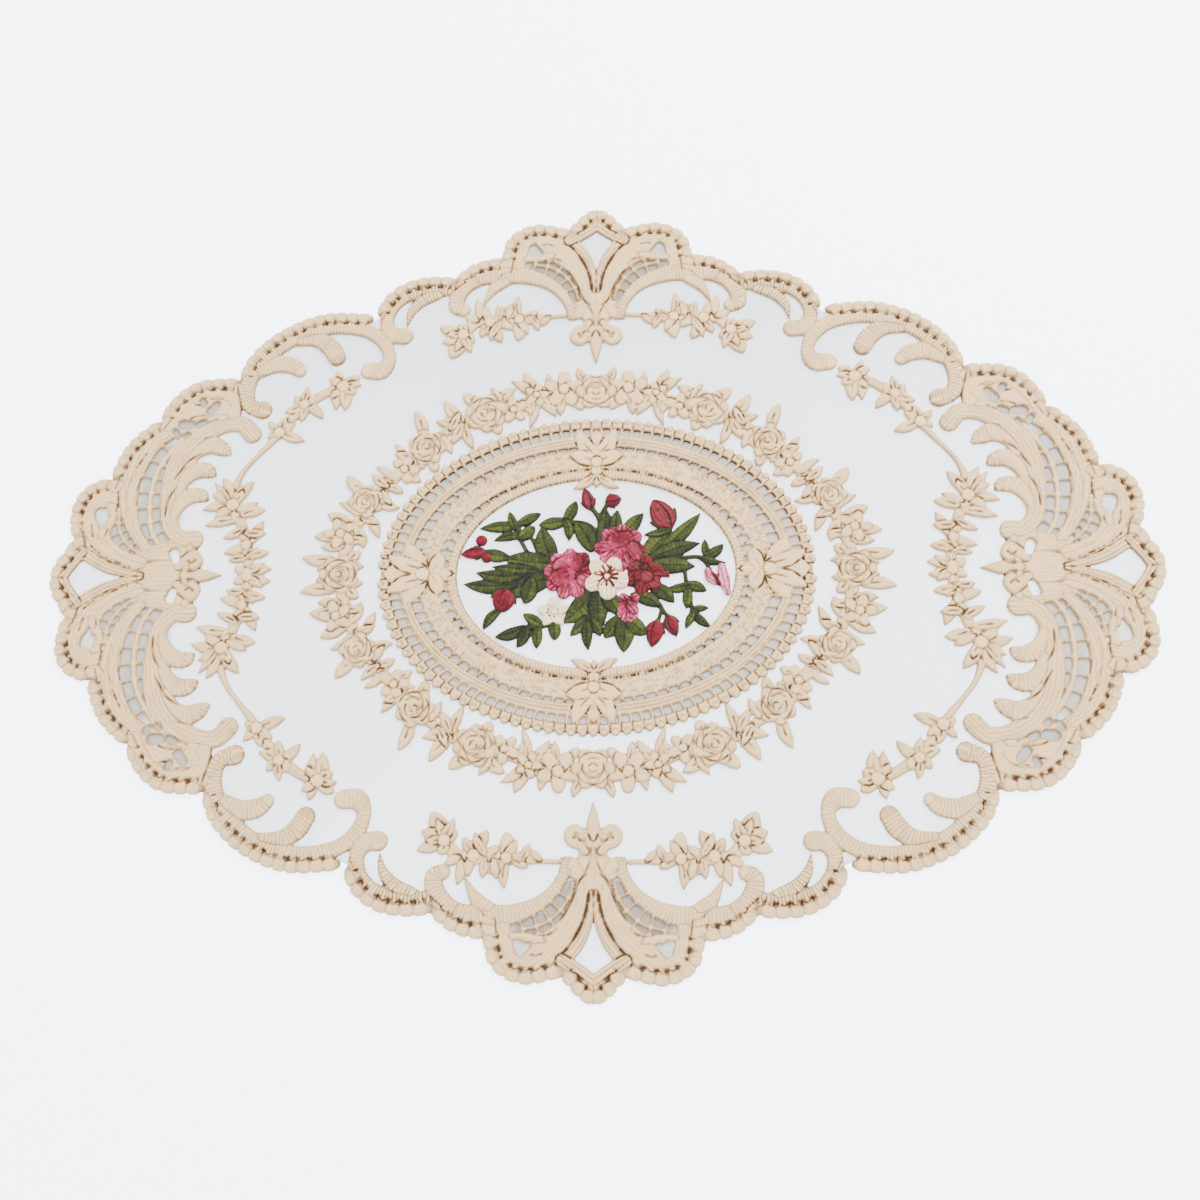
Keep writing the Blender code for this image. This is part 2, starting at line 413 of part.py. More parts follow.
def frame_outlines():
    """The oval frame's first quarter, run a little past both axes."""
    ovals = {oval.name: oval for oval in OVALS}
    outlines = []
    for oval in OVALS:
        outlines += band_outlines((oval.inner_a, oval.inner_b), (oval.outer_a, oval.outer_b),
                                  -4, 94, FRAME_STEPS)
    for rungs in RUNGS:
        inner, outer = ovals[rungs.inner], ovals[rungs.outer]
        near, far = (inner.outer_a, inner.outer_b), (outer.inner_a, outer.inner_b)
        for degrees in np.linspace(rungs.first_deg, rungs.last_deg, rungs.count):
            turn = np.radians([degrees])
            start, end = oval_point(*near, turn)[0], oval_point(*far, turn)[0]
            run = (end - start) / np.linalg.norm(end - start)
            side = np.array([-run[1], run[0]]) * RUNG_WIDTH / 2
            start, end = start - run, end + run
            outlines.append(np.array([start - side, end - side, end + side, start + side]))
        outlines += band_outlines(np.subtract(near, 0.5), np.add(far, 0.5), SLITS[rungs.name], 94, 6)
    rim = ovals["outer_rim"]
    turns = np.radians(np.linspace(0, 90, PICOTS * 2 + 1))
    feet = oval_point(rim.outer_a - 1.5, rim.outer_b - 1.5, turns)
    crests = oval_point(rim.outer_a + PICOT_RISE, rim.outer_b + PICOT_RISE, turns)
    for place in range(1, PICOTS * 2, 2):
        outlines.append(untwisted([feet[place - 1], feet[place + 1], crests[place]]))
    return outlines + [leaf_outline(leaf) for leaf in FRAME_CROSSES]


def signed_area(loop):
    x, y = loop[:, 0], loop[:, 1]
    return (x * np.roll(y, -1) - y * np.roll(x, -1)).sum() / 2


def counter_clockwise(outline):
    return outline if signed_area(outline) > 0 else outline[::-1]


def triangulate(solid, cut):
    """The outlines' plane in triangles: its points, those inside the union less the cut,
    and the rest."""
    points, faces = [], []
    for outline in [*solid, *cut]:
        faces.append(list(range(len(points), len(points) + len(outline))))
        points.extend(Vector(p) for p in counter_clockwise(outline))
    found = delaunay_2d_cdt(points, [], faces, 0, 1e-4, True)
    kept, open_faces = [], []
    for face, owners in zip(found[2], found[5]):
        inside = owners and max(owners) < len(solid)
        (kept if inside else open_faces).append(list(face))
    return found[0], kept, open_faces


def on_axis(a, b, points):
    return any(abs(points[a][i]) < 1e-3 and abs(points[b][i]) < 1e-3 for i in (0, 1))


def pinches(points, faces):
    """Points where the shape, with its mirror images, only touches itself."""
    around = {}
    for face in faces:
        for corner in face:
            around.setdefault(corner, []).append(face)
    found = []
    for corner, fan in around.items():
        spokes = [other for face in fan for other in face if other != corner]
        rim = [other for other in set(spokes) if spokes.count(other) == 1]
        open_rim = sum(not on_axis(corner, other, points) for other in rim)
        limit = 1 if min(abs(points[corner].x), abs(points[corner].y)) < 1e-3 else 2
        if open_rim > limit:
            found.append(tuple(points[corner]))
    return found


def fuse(solid, cut=()):
    """The flat union of outlines less the cut ones. Gaps too small to show are filled, and
    where the shape only touches itself it is joined, or parted beside a cut."""
    solid, cut = list(solid), list(cut)
    for bridge in (solid, solid, cut, cut):
        points, kept, open_faces = triangulate(solid, cut)
        for gap in islands(open_faces):
            if area_of(points, gap) < SMALL_GAP and not touches_cut(points, gap, cut):
                kept += gap
        touching = pinches(points, kept)
        if not touching:
            break
        bridge.extend(disc(x, y, BRIDGE, 6) for x, y in touching)
    return points, kept


def touches_cut(points, faces, cut):
    """Whether a gap is part of a cut, by the box of each cut outline."""
    middle = sum((points[i] for i in faces[0]), Vector((0.0, 0.0))) / 3
    for outline in cut:
        low, high = outline.min(0), outline.max(0)
        if low[0] <= middle.x <= high[0] and low[1] <= middle.y <= high[1]:
            return True
    return False


def islands(faces):
    """Groups of faces that share an edge with one another."""
    owner_of_edge, group = {}, list(range(len(faces)))

    def head(i):
        while group[i] != i:
            i = group[i]
        return i

    for i, face in enumerate(faces):
        for a, b in zip(face, face[1:] + face[:1]):
            other = owner_of_edge.setdefault(frozenset((a, b)), i)
            group[head(i)] = head(other)
    found = {}
    for i, face in enumerate(faces):
        found.setdefault(head(i), []).append(face)
    return list(found.values())


def boundary_loops(points, faces):
    """The closed rims of a flat shape, each with the shape on its left."""
    follows = {}
    for face in faces:
        for a, b in zip(face, face[1:] + face[:1]):
            follows[a, b] = True
    rims = {a: b for a, b in follows if (b, a) not in follows}
    loops = []
    while rims:
        start, step = rims.popitem()
        loop = [start]
        while step != start:
            loop.append(step)
            step = rims.pop(step)
        loops.append(np.array([points[i] for i in loop]))
    return loops


def thinned(run, places, error):
    """The places along a run that are needed to stay within an error of it."""
    if len(run) < 3:
        return list(places[:-1])
    chord = run[-1] - run[0]
    length = np.linalg.norm(chord)
    reach = run[1:-1] - run[0]
    off = (np.abs(reach[:, 0] * chord[1] - reach[:, 1] * chord[0]) / length if length > 1e-9
           else np.linalg.norm(reach, axis=1))
    far = int(off.argmax()) + 1
    if off[far - 1] < error:
        return [places[0]]
    return (thinned(run[:far + 1], places[:far + 1], error)
            + thinned(run[far:], places[far:], error))


def side_of(start, end, point):
    along, reach = end - start, point - start
    return along[..., 0] * reach[..., 1] - along[..., 1] * reach[..., 0]


def crossing_sides(loop):
    """The sides of a loop that cross another: each one's ends lie either side of the other."""
    start, end = loop, np.roll(loop, -1, axis=0)
    a, b, c, d = start[:, None], end[:, None], start[None], end[None]
    apart = side_of(a, b, c) * side_of(a, b, d) < 0
    return np.flatnonzero((apart & apart.T).any(1))


def simplified(loop, error):
    """A rim with only the points that shape it. It keeps those where it meets an axis, and
    takes back the ones it needs not to cross itself."""
    on = np.abs(loop) < 1e-3
    before, after = np.roll(on, 1, axis=0), np.roll(on, -1, axis=0)
    meets = (on & before).any(1) != (on & after).any(1)
    fixed = set(np.flatnonzero(meets | on.all(1)).tolist())
    if len(fixed) < 2:
        fixed = {0, int(np.linalg.norm(loop - loop[0], axis=1).argmax())}
    while True:
        anchors = sorted(fixed)
        kept = []
        for start, end in zip(anchors, [*anchors[1:], anchors[0] + len(loop)]):
            places = np.arange(start, end + 1) % len(loop)
            kept += thinned(loop[places], places.tolist(), error)
        crossing = crossing_sides(loop[kept])
        if not len(crossing):
            return loop[kept]
        for side in crossing:
            start, end = kept[side], kept[(side + 1) % len(kept)]
            fixed.update((start + step) % len(loop) for step in range((end - start) % len(loop)))


def redrawn(points, faces, error):
    """The same shape in as few points as show it."""
    rims = [simplified(loop, error) for loop in boundary_loops(points, faces)]
    rims = [rim for rim in rims if len(rim) > 2 and abs(signed_area(rim)) > 0.5]
    outer = [rim for rim in rims if signed_area(rim) > 0]
    holes = [rim for rim in rims if signed_area(rim) < 0]
    return triangulate(outer, holes)[:2]


def area_of(points, faces):
    total = 0.0
    for a, b, c in faces:
        total += abs((points[b] - points[a]).cross(points[c] - points[a])) / 2
    return total


def flat_mesh(name, points, faces, height, error=SHAPE_ERROR):
    """A flat mesh of a shape at a height."""
    points, faces = redrawn(points, faces, error)
    mesh = bpy.data.meshes.new(name)
    mesh.from_pydata([(p.x * MM, p.y * MM, height * MM) for p in points], [], faces)
    mesh.update()
    return mesh


def add_piece(collection, name, mesh, thread, thick, mirror=(False, False)):
    """An object of a flat mesh, mirrored over the axes asked for and given its thickness."""
    piece = bpy.data.objects.new(name, mesh)
    collection.objects.link(piece)
    mesh.materials.append(thread_material(thread))
    if any(mirror):
        across = piece.modifiers.new("Over the axes", "MIRROR")
        across.use_axis = (*mirror, False)
        across.use_mirror_merge = True
        across.merge_threshold = MERGE
    depth = piece.modifiers.new("Thickness", "SOLIDIFY")
    depth.thickness = thick * MM
    depth.offset = 1.0
    return piece


def half_plane(axis):
    """Everything on the far side of an axis, to cut a quarter clean along it."""
    box = np.array([(-FAR_AWAY, -FAR_AWAY), (0, -FAR_AWAY), (0, FAR_AWAY), (-FAR_AWAY, FAR_AWAY)])
    return box if axis == "x" else box[:, ::-1]


def biggest(points, faces):
    return max(islands(faces), key=lambda group: area_of(points, group))


def border_outlines(grow=0.0):
    """The lace border's first quarter."""
    outlines = []
    for scroll in SCROLLS:
        outlines += scroll_outlines(scroll.path, grow)
    outlines += [leaf_outline(CREST_LEAF, grow), leaf_outline(HUB_LEAF, grow)]
    edges = list(SCALLOPS.values())
    for points in edges:
        outlines += bead_outlines(points)
    for before, after in zip(edges, edges[1:]):
        outlines += scroll_outlines([(*before[-1], VALLEY_TIE), (*after[0], VALLEY_TIE)], grow)
    if not grow:
        for ladder in LADDERS:
            outlines += ladder_outlines(ladder)
    return outlines


def build_ground(collection):
    """The sheer ground: one sheet, ending under the beads of the edging."""
    edge = []
    for points in SCALLOPS.values():
        line = smooth_line(points, 4 * BEAD_PITCH)
        outward = normals_of(line)
        outward = outward * np.sign((outward * line).sum())
        edge.extend(line - outward * GROUND_INSET)
    edge[0][0] = 0.0
    edge[-1][1] = 0.0
    outline = np.array([*edge, (0, 0)])
    points, faces = fuse([outline], [half_plane("x"), half_plane("y")])
    mesh = flat_mesh("sheer_ground", points, faces, 0.0, GROUND_ERROR)
    add_piece(collection, "sheer_ground", mesh, "sheer", GROUND_THICK, (True, True))


def build_border(collection):
    points, faces = fuse(border_outlines(), [half_plane("x"), half_plane("y")])
    mesh = flat_mesh("lace_border", points, biggest(points, faces), GROUND_THICK + LAYER_GAP)
    add_piece(collection, "lace_border", mesh, "beige", LACE_THICK, (True, True))


def build_sprigs(collection):
    """A short sprig in each quarter, and a long one at each end."""
    keep_off = border_outlines(SIDE_GAP)
    base = GROUND_THICK + LAYER_GAP
    crest = scroll_outlines(CREST_SPRIG_STEM) + [leaf_outline(leaf) for leaf in CREST_SPRIG_LEAVES]
    end = scroll_outlines(END_SPRIG_STEM) + [leaf_outline(leaf) for leaf in END_SPRIG_LEAVES]
    for quarter, (sign_x, sign_y) in QUARTERS.items():
        turned = [outline * (sign_x, sign_y) for outline in crest]
        points, faces = fuse(turned, [outline * (sign_x, sign_y) for outline in keep_off])
        mesh = flat_mesh("sprig_" + quarter, points, biggest(points, faces), base)
        add_piece(collection, "sprig_" + quarter, mesh, "beige", SPRIG_THICK)
    for side, sign_x in (("right", 1), ("left", -1)):
        turned = [outline * (sign_x, 1) for outline in end]
        cutters = [outline * (sign_x, 1) for outline in keep_off] + [half_plane("y")]
        points, faces = fuse(turned, cutters)
        mesh = flat_mesh("sprig_end_" + side, points, biggest(points, faces), base)
        add_piece(collection, "sprig_end_" + side, mesh, "beige", SPRIG_THICK, (False, True))


def build_wreath(collection):
    outlines = scroll_outlines(WREATH_VINE)
    outlines += [bloom_outline(bloom) for bloom in WREATH_BLOOMS]
    outlines += [leaf_outline(leaf) for leaf in WREATH_LEAVES]
    frame = OVALS[-1]
    keep_off = band_outlines((0.1, 0.1), (frame.outer_a + PICOT_RISE + SIDE_GAP,
                                          frame.outer_b + PICOT_RISE + SIDE_GAP), -4, 94, FRAME_STEPS)
    points, faces = fuse(outlines, keep_off + [half_plane("x"), half_plane("y")])
    mesh = flat_mesh("flower_wreath", points, biggest(points, faces), GROUND_THICK + LAYER_GAP)
    add_piece(collection, "flower_wreath", mesh, "beige", WREATH_THICK, (True, True))


def build_frame(collection):
    points, faces = fuse(frame_outlines(), [half_plane("x"), half_plane("y")])
    mesh = flat_mesh("oval_frame", points, biggest(points, faces), GROUND_THICK + LAYER_GAP)
    add_piece(collection, "oval_frame", mesh, "beige", FRAME_THICK, (True, True))


def frame_edge():
    """What the bouquet keeps off: the frame's inner rim and the leaves that stand in from it."""
    rim = OVALS[0]
    outlines = band_outlines((rim.inner_a - SIDE_GAP, rim.inner_b - SIDE_GAP), (95, 80), 0, 360, 48)
    for leaf in FRAME_CROSSES:
        grown = leaf_outline(leaf, SIDE_GAP)
        outlines += [grown * signs for signs in QUARTERS.values()]
    return outlines


def build_bouquet(collection):
    """Each flower and bud, laid from the top one down, then the leaves round them."""
    base = GROUND_THICK + LAYER_GAP
    rim = frame_edge()
    order = ["pansy", "rose_right", "rose_left", "rose_red", "blossom_pink", "blossom_cream",
             "blossom_pale"]
    blooms = {bloom.name: bloom for bloom in BOUQUET_BLOOMS}
    laid = []
    for name in order:
        points, faces = fuse([bloom_outline(blooms[name])], laid + rim)
        mesh = flat_mesh(name, points, biggest(points, faces), base, BOUQUET_ERROR)
        add_piece(collection, name, mesh, BLOOM_THREAD[name], BOUQUET_THICK)
        laid.append(bloom_outline(blooms[name], SIDE_GAP))
    for bud in BOUQUET_BUDS:
        points, faces = fuse([bud_outline(bud)], laid + rim)
        mesh = flat_mesh(bud.name, points, biggest(points, faces), base, BOUQUET_ERROR)
        add_piece(collection, bud.name, mesh, "red", BOUQUET_THICK)
        laid.append(bud_outline(bud, SIDE_GAP))
    green = [leaf_outline(leaf) for leaf in BOUQUET_LEAVES]
    for stem in BOUQUET_STEMS:
        green += scroll_outlines(stem)
    points, faces = fuse(green, laid + rim)
    sprays = [group for group in islands(faces) if area_of(points, group) > 8.0]
    for number, group in enumerate(sprays, 1):
        name = f"leaf_spray_{number:02d}"
        mesh = flat_mesh(name, points, group, base, BOUQUET_ERROR)
        add_piece(collection, name, mesh, "green", BOUQUET_THICK)


def main():
    clear_scene()
    mat = bpy.data.collections.new("Lace mat")
    bpy.context.scene.collection.children.link(mat)
    build_ground(mat)
    build_border(mat)
    build_sprigs(mat)
    build_wreath(mat)
    build_frame(mat)
    build_bouquet(mat)


main()
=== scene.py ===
# Oval lace table mat: the stitched relief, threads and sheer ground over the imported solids.
import math
import bpy
import numpy as np
from mathutils import Matrix, Vector


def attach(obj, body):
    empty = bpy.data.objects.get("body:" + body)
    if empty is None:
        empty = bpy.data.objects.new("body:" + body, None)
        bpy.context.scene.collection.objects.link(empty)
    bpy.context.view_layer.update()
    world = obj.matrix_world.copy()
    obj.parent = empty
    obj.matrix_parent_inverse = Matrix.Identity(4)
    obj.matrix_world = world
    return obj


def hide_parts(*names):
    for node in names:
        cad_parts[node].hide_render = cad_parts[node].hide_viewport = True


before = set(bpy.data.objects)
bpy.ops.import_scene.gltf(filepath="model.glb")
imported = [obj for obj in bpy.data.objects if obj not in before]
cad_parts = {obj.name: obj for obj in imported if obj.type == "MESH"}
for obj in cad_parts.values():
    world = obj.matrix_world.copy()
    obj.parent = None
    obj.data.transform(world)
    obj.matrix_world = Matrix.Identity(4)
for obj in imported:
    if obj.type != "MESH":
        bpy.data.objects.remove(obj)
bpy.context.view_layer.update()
mm = 0.001  # every table below is in millimetres, seen from above
rng = np.random.default_rng(11)
quarters = {"rightFar": (1, 1), "leftFar": (-1, 1), "leftNear": (-1, -1), "rightNear": (1, -1)}
print("frame loaded:", len(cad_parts), "solids")

# layers of the mat above the table, in mm: where the sheet and the lace start, the sheet's thickness,
# and the height of the lace's upright foot
layer = {"sheetLow": 0.12, "sheetThick": 0.16, "lace": 0.37, "foot": 0.28}


def smoothLine(rows):
    # a cubic through every row: at each row it runs parallel to the line joining its neighbours
    rows = np.array(rows, float)
    ends = np.vstack([2 * rows[0] - rows[1], rows, 2 * rows[-1] - rows[-2]])
    start, end = ends[1:-2, None], ends[2:-1, None]
    leave, arrive = (ends[2:-1] - ends[:-3])[:, None] / 2, (ends[3:] - ends[1:-2])[:, None] / 2
    t = np.linspace(0, 1, 13)[None, :-1, None]
    line = ((2 * t**3 - 3 * t**2 + 1) * start + (t**3 - 2 * t**2 + t) * leave
            + (3 * t**2 - 2 * t**3) * end + (t**3 - t**2) * arrive)
    return np.vstack([line.reshape(-1, rows.shape[1]), rows[-1:]])


def lengthsOf(line):
    # the length along the line at each of its points: the running sum of its steps
    return np.append(0, np.cumsum(np.linalg.norm(np.diff(line[:, :2], axis=0), axis=1)))


def pick(line, lengths, places):
    # every column of the line read at the given lengths along it
    return np.column_stack([np.interp(places, lengths, line[:, k]) for k in range(line.shape[1])])


def leftOf(line):
    # unit vectors across the line, to its left
    along = np.gradient(line[:, :2], axis=0)
    along /= np.linalg.norm(along, axis=1)[:, None] + 1e-9
    return np.column_stack([-along[:, 1], along[:, 0]])


def gridFaces(rows, columns):
    # quads of a grid whose columns run round a closed section
    i, j = np.arange(rows - 1)[:, None] * columns, np.arange(columns)[None]
    after = (j + 1) % columns
    return np.stack([i + j, i + columns + j, i + columns + after, i + after], -1).reshape(-1, 4)


def part(points, stitch, tint, faces, caps=()):
    # one surface: its points, and for each point where it lies in the stitch and how light it is
    return {"points": points.reshape(-1, 3), "stitch": stitch.reshape(-1, 2),
            "tint": np.clip(tint, 0, 1).reshape(-1), "faces": faces, "caps": [list(c) for c in caps]}


def turned(piece, signs):
    # the same part in another quarter; a single mirror turns its faces round
    points = piece["points"] * (signs[0], signs[1], 1)
    if signs[0] * signs[1] > 0:
        return {**piece, "points": points}
    return {**piece, "points": points, "faces": piece["faces"][:, ::-1],
            "caps": [c[::-1] for c in piece["caps"]]}


# how far the cloth wanders sideways and how far it lifts on average, in mm
cloth = {"wander": 0.35, "lift": 0.10}


def settled(points):
    # cloth is never quite even: a long slow wander sideways, and a lift where it isn't pressed
    x, y = points[:, 0], points[:, 1]
    moved = points.copy()
    moved[:, 0] += cloth["wander"] * np.sin(y / 31 + 0.6) * np.cos(x / 47)
    moved[:, 1] += cloth["wander"] * np.sin(x / 37 - 0.4) * np.cos(y / 53)
    moved[:, 2] += cloth["lift"] * (1 + np.sin(x / 23 + 1.1) * np.cos(y / 19)) * (points[:, 2] > 0.5)
    return moved


def makePiece(name, parts, material, slotName, nodes):
    # joins parts into one object at the origin, riding on the mat
    offsets = np.cumsum([0] + [len(p["points"]) for p in parts])
    points = settled(np.vstack([p["points"] for p in parts])) * mm
    faces = np.vstack([p["faces"] + o for p, o in zip(parts, offsets)]).tolist()
    for p, o in zip(parts, offsets):
        faces += [[k + int(o) for k in cap] for cap in p["caps"]]
    mesh = bpy.data.meshes.new(name)
    mesh.from_pydata(points.tolist(), [], faces)
    corners = np.empty(len(mesh.loops), np.int32)
    mesh.loops.foreach_get("vertex_index", corners)
    stitch = np.vstack([p["stitch"] for p in parts])
    mesh.uv_layers.new(name="stitch").data.foreach_set("uv", stitch[corners].astype(np.float32).ravel())
    for key in ("tint", "rib"):
        values = np.concatenate([p.get(key, np.zeros(len(p["tint"]))) for p in parts])
        mesh.attributes.new(key, "FLOAT", "POINT").data.foreach_set("value", values.astype(np.float32))
    mesh.polygons.foreach_set("use_smooth", np.ones(len(mesh.polygons), bool))
    mesh.materials.append(material)
    mesh.update()
    piece = bpy.data.objects.new(name, mesh)
    bpy.context.scene.collection.objects.link(piece)
    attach(piece, "root")
    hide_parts(*nodes)
    print(name, len(mesh.vertices), "points")
    return piece


# threads
def newMaterial(name, finish):
    # a material with the finish set on its shader's own sockets, and three ways to add to it
    material = bpy.data.materials.new(name)
    material.use_nodes = True
    nodes, links = material.node_tree.nodes, material.node_tree.links

    def fill(node, inputs):
        # each input takes a value, or a link where it is another node's output
        for key, value in inputs.items():
            if isinstance(value, bpy.types.NodeSocket):
                links.new(value, node.inputs[key])
            else:
                node.inputs[key].default_value = value

    def add(kind, output, inputs=None, **settings):
        # a new node, its settings and its inputs; gives back one of its outputs
        node = nodes.new("ShaderNode" + kind)
        for key, value in settings.items():
            setattr(node, key, value)
        fill(node, inputs or {})
        return node.outputs[output]

    def sums(operation, *values):
        # one operation on up to three values
        return add("Math", 0, dict(enumerate(values)), operation=operation)

    def dress(inputs):
        # values and links for the shader itself
        fill(nodes["Principled BSDF"], inputs)

    dress(finish)
    return material, add, sums, dress


def addRamp(add, source, colours, interpolation="LINEAR"):
    # from the source's 0 to 1 through the colours, each (place, colour)
    colour = add("ValToRGB", "Color", {"Fac": source})
    ramp = colour.node.color_ramp
    ramp.interpolation = interpolation
    for k, (at, shade) in enumerate(colours):
        stop = ramp.elements[k] if k < 2 else ramp.elements.new(at)
        stop.position = at
        stop.color = (*shade, 1)
    return colour


# what all threads share: the pitch of the threads and of the satin's ribs in mm, the fuzz's waves in
# a metre, and after each its strength and its depth in metres
# ribShade: how much painted shade darkens the ribs' grooves
yarn = {"thread": (0.42, 0.55, 0.00012), "rib": (1.45, 0.8, 0.0003), "fuzz": (1600, 0.35, 0.0001),
        "sheenRough": 0.45, "specular": 0.2, "ribShade": 0.42}
bandsPerPitch = 0.314  # the wave texture's scale for one band in each unit


def threadMaterial(colour, stops, rough=0.7, sheen=0.05, streak=0.2, blotch=0.14):
    # the tint of each point, plus streaks across the stitches and soft blotches, less the ribs, picks a
    # colour from the stops; the material comes with a second name, its colour and _thread
    material, add, sums, dress = newMaterial(colour + "Thread", {
        "Roughness": rough, "Sheen Weight": sheen, "Sheen Roughness": yarn["sheenRough"],
        "Specular IOR Level": yarn["specular"]})

    def noise(vector, scale, detail):
        # soft noise from 0 to 1, scale waves in each unit of the vector
        return add("TexNoise", "Fac", {"Vector": vector, "Scale": scale, "Detail": detail})

    def bump(height, strength, depth, under, **settings):
        # the height as a bump, over the normal that lies under it
        return add("Bump", "Normal", {"Height": height, "Strength": strength, "Distance": depth, **under},
                   **settings)

    stitch, place = add("UVMap", "UV", uv_map="stitch"), add("TexCoord", "Object")
    tint, strength = (add("Attribute", "Fac", attribute_name=key) for key in ("tint", "rib"))
    streaks = noise(add("Mapping", "Vector", {"Vector": stitch, "Scale": (1.7, 0.16, 1)}), 1.0, 4)
    streaked = sums("ADD", tint, sums("MULTIPLY_ADD", streaks, streak, -streak / 2))
    shade = sums("ADD", streaked, sums("MULTIPLY_ADD", noise(place, 140, 3), blotch, -blotch / 2))
    # satin ribs across the stroke: (0.5 - 0.5 cos(u 2 pi / pitch))^3, as strong as the rib attribute; their
    # grooves are darkened with painted shade
    phase = sums("MULTIPLY_ADD", add("SeparateXYZ", "X", {0: stitch}), 2 * math.pi / yarn["rib"][0],
                 sums("MULTIPLY", noise(stitch, 0.35, 2), 9.0))
    groove = sums("POWER", sums("MULTIPLY_ADD", sums("COSINE", phase), -0.5, 0.5), 3.0)
    uneven = sums("MULTIPLY", strength, sums("MULTIPLY_ADD", streaks, 2.0, -0.3))
    ribbed = sums("MULTIPLY", groove, uneven)
    shade = sums("MULTIPLY_ADD", ribbed, -yarn["ribShade"], shade)
    threads = add("TexWave", "Fac", {"Vector": stitch, "Scale": bandsPerPitch / yarn["thread"][0],
                                     "Distortion": 1.2, "Detail": 2, "Detail Scale": 0.6})
    normal = bump(threads, *yarn["thread"][1:], {})
    normal = bump(noise(place, yarn["fuzz"][0], 3), *yarn["fuzz"][1:], {"Normal": normal})
    normal = bump(ribbed, *yarn["rib"][1:], {"Normal": normal}, invert=True)
    dress({"Base Color": addRamp(add, shade, stops, "EASE"), "Normal": normal})
    return material, colour + "_thread"


beige = threadMaterial("beige", [(0.0, (0.05, 0.026, 0.012)), (0.35, (0.27, 0.155, 0.07)),
                                 (0.6, (0.58, 0.385, 0.195)), (0.8, (0.80, 0.565, 0.305)),
                                 (1.0, (0.91, 0.72, 0.45))])
green = threadMaterial("green", [(0.0, (0.004, 0.006, 0.001)), (0.4, (0.020, 0.029, 0.002)),
                                 (0.75, (0.055, 0.070, 0.006)), (1.0, (0.13, 0.15, 0.02))],
                       rough=0.55, sheen=0.1, streak=0.5, blotch=0.35)
pink = threadMaterial("pink", [(0.0, (0.03, 0.0008, 0.003)), (0.3, (0.13, 0.003, 0.014)),
                               (0.6, (0.30, 0.022, 0.075)), (0.82, (0.48, 0.10, 0.19)),
                               (1.0, (0.66, 0.30, 0.36))], rough=0.5, streak=0.45, blotch=0.2)
red = threadMaterial("red", [(0.0, (0.02, 0.0005, 0.001)), (0.5, (0.13, 0.0015, 0.009)),
                             (1.0, (0.30, 0.012, 0.04))], rough=0.45, streak=0.4, blotch=0.2)
cream = threadMaterial("cream", [(0.0, (0.04, 0.003, 0.003)), (0.3, (0.22, 0.06, 0.04)),
                                 (0.55, (0.66, 0.48, 0.28)), (1.0, (0.90, 0.78, 0.55))],
                       rough=0.55, streak=0.16, blotch=0.1)
print("threads ready")

# sheer ground
# inset, spokes and rings shape the sheet; the pitch of its threads and the oval midway between the frame's
# rings are in metres; sheer is how closed the cloth looks, here, in the frame and in shade; the far side's,
# the frame's and the bars' darkening are painted shade
ground = {"inset": 1.7, "spokes": 540, "rings": 20, "thread": 0.0007, "colour": (0.93, 0.955, 0.95),
          "dullSide": 0.8, "frameOval": (0.072, 0.053), "frameReach": 0.19, "frameShade": (0.50, 0.44, 0.36),
          "barShade": (0.36, 0.325, 0.275), "sheer": 0.64, "sheerInFrame": 0.8, "sheerInShade": 0.97}
# one quarter of the edging, from the middle of the long side to the end: the line through its beads
scallops = {
    "crestTip": [(0, 164.4), (4.2, 162.4), (7.6, 158.6), (10.6, 155.6)],
    "crestCurl": [(12.6, 154.6), (18, 156), (25, 157.2), (31.5, 155.6), (36.6, 151.6),
                  (38.4, 146.5), (39, 142)],
    "arm": [(41.6, 141.2), (48, 140.3), (54, 137.8), (59.4, 133.4)],
    "smallArch": [(62.4, 132.2), (69, 132.8), (77, 132.2), (84, 129.6), (89.8, 124.8), (93.2, 118.4)],
    "longArch": [(98.2, 115.6), (105, 116.3), (112, 116.6), (119, 116), (127, 113.4), (135, 109.3),
                 (142, 103.8), (147.6, 97.2), (150.8, 89.6)],
    "shoulder": [(154, 86.4), (161, 86.4), (168, 85.8), (174, 83), (179.2, 77.8), (183, 71.2)],
    "flank": [(186, 67.2), (191, 63.2), (196, 57.8), (199.4, 51.3), (201.6, 44.6)],
    "endCurl": [(204.8, 41.4), (210.4, 39.5), (214.7, 35.4), (216.7, 30), (216.7, 24), (215.4, 18.5)],
    "endTip": [(215.6, 14), (218.4, 9.6), (221.4, 5.2), (222.5, 0)],
}


def groundSheet():
    # rays from the middle to the scalloped edge: reach(angle) * share, with a low even swell
    edge = np.vstack([smoothLine([(x, y, 0) for x, y in rows]) for rows in scallops.values()])[:, :2]
    reach, turn = np.hypot(*edge.T) - ground["inset"], np.arctan2(edge[:, 1], edge[:, 0])
    order = turn.argsort()
    angle = np.linspace(0, 2 * math.pi, ground["spokes"], endpoint=False)
    folded = np.arctan2(np.abs(np.sin(angle)), np.abs(np.cos(angle)))
    rim = np.interp(folded, turn[order], reach[order])
    share = np.linspace(0.02, 1, ground["rings"])[:, None]
    x, y = share * rim * np.cos(angle), share * rim * np.sin(angle)
    z = layer["sheetLow"] + 0.06 * (1 + np.sin(x / 17) * np.cos(y / 21)) * (1 - share**8)
    points = np.stack([x, y, z], -1)
    uv = np.stack([x, y], -1)
    faces = gridFaces(ground["rings"], ground["spokes"])
    return part(points, uv, np.full_like(x, 0.8), faces, [range(ground["spokes"])])


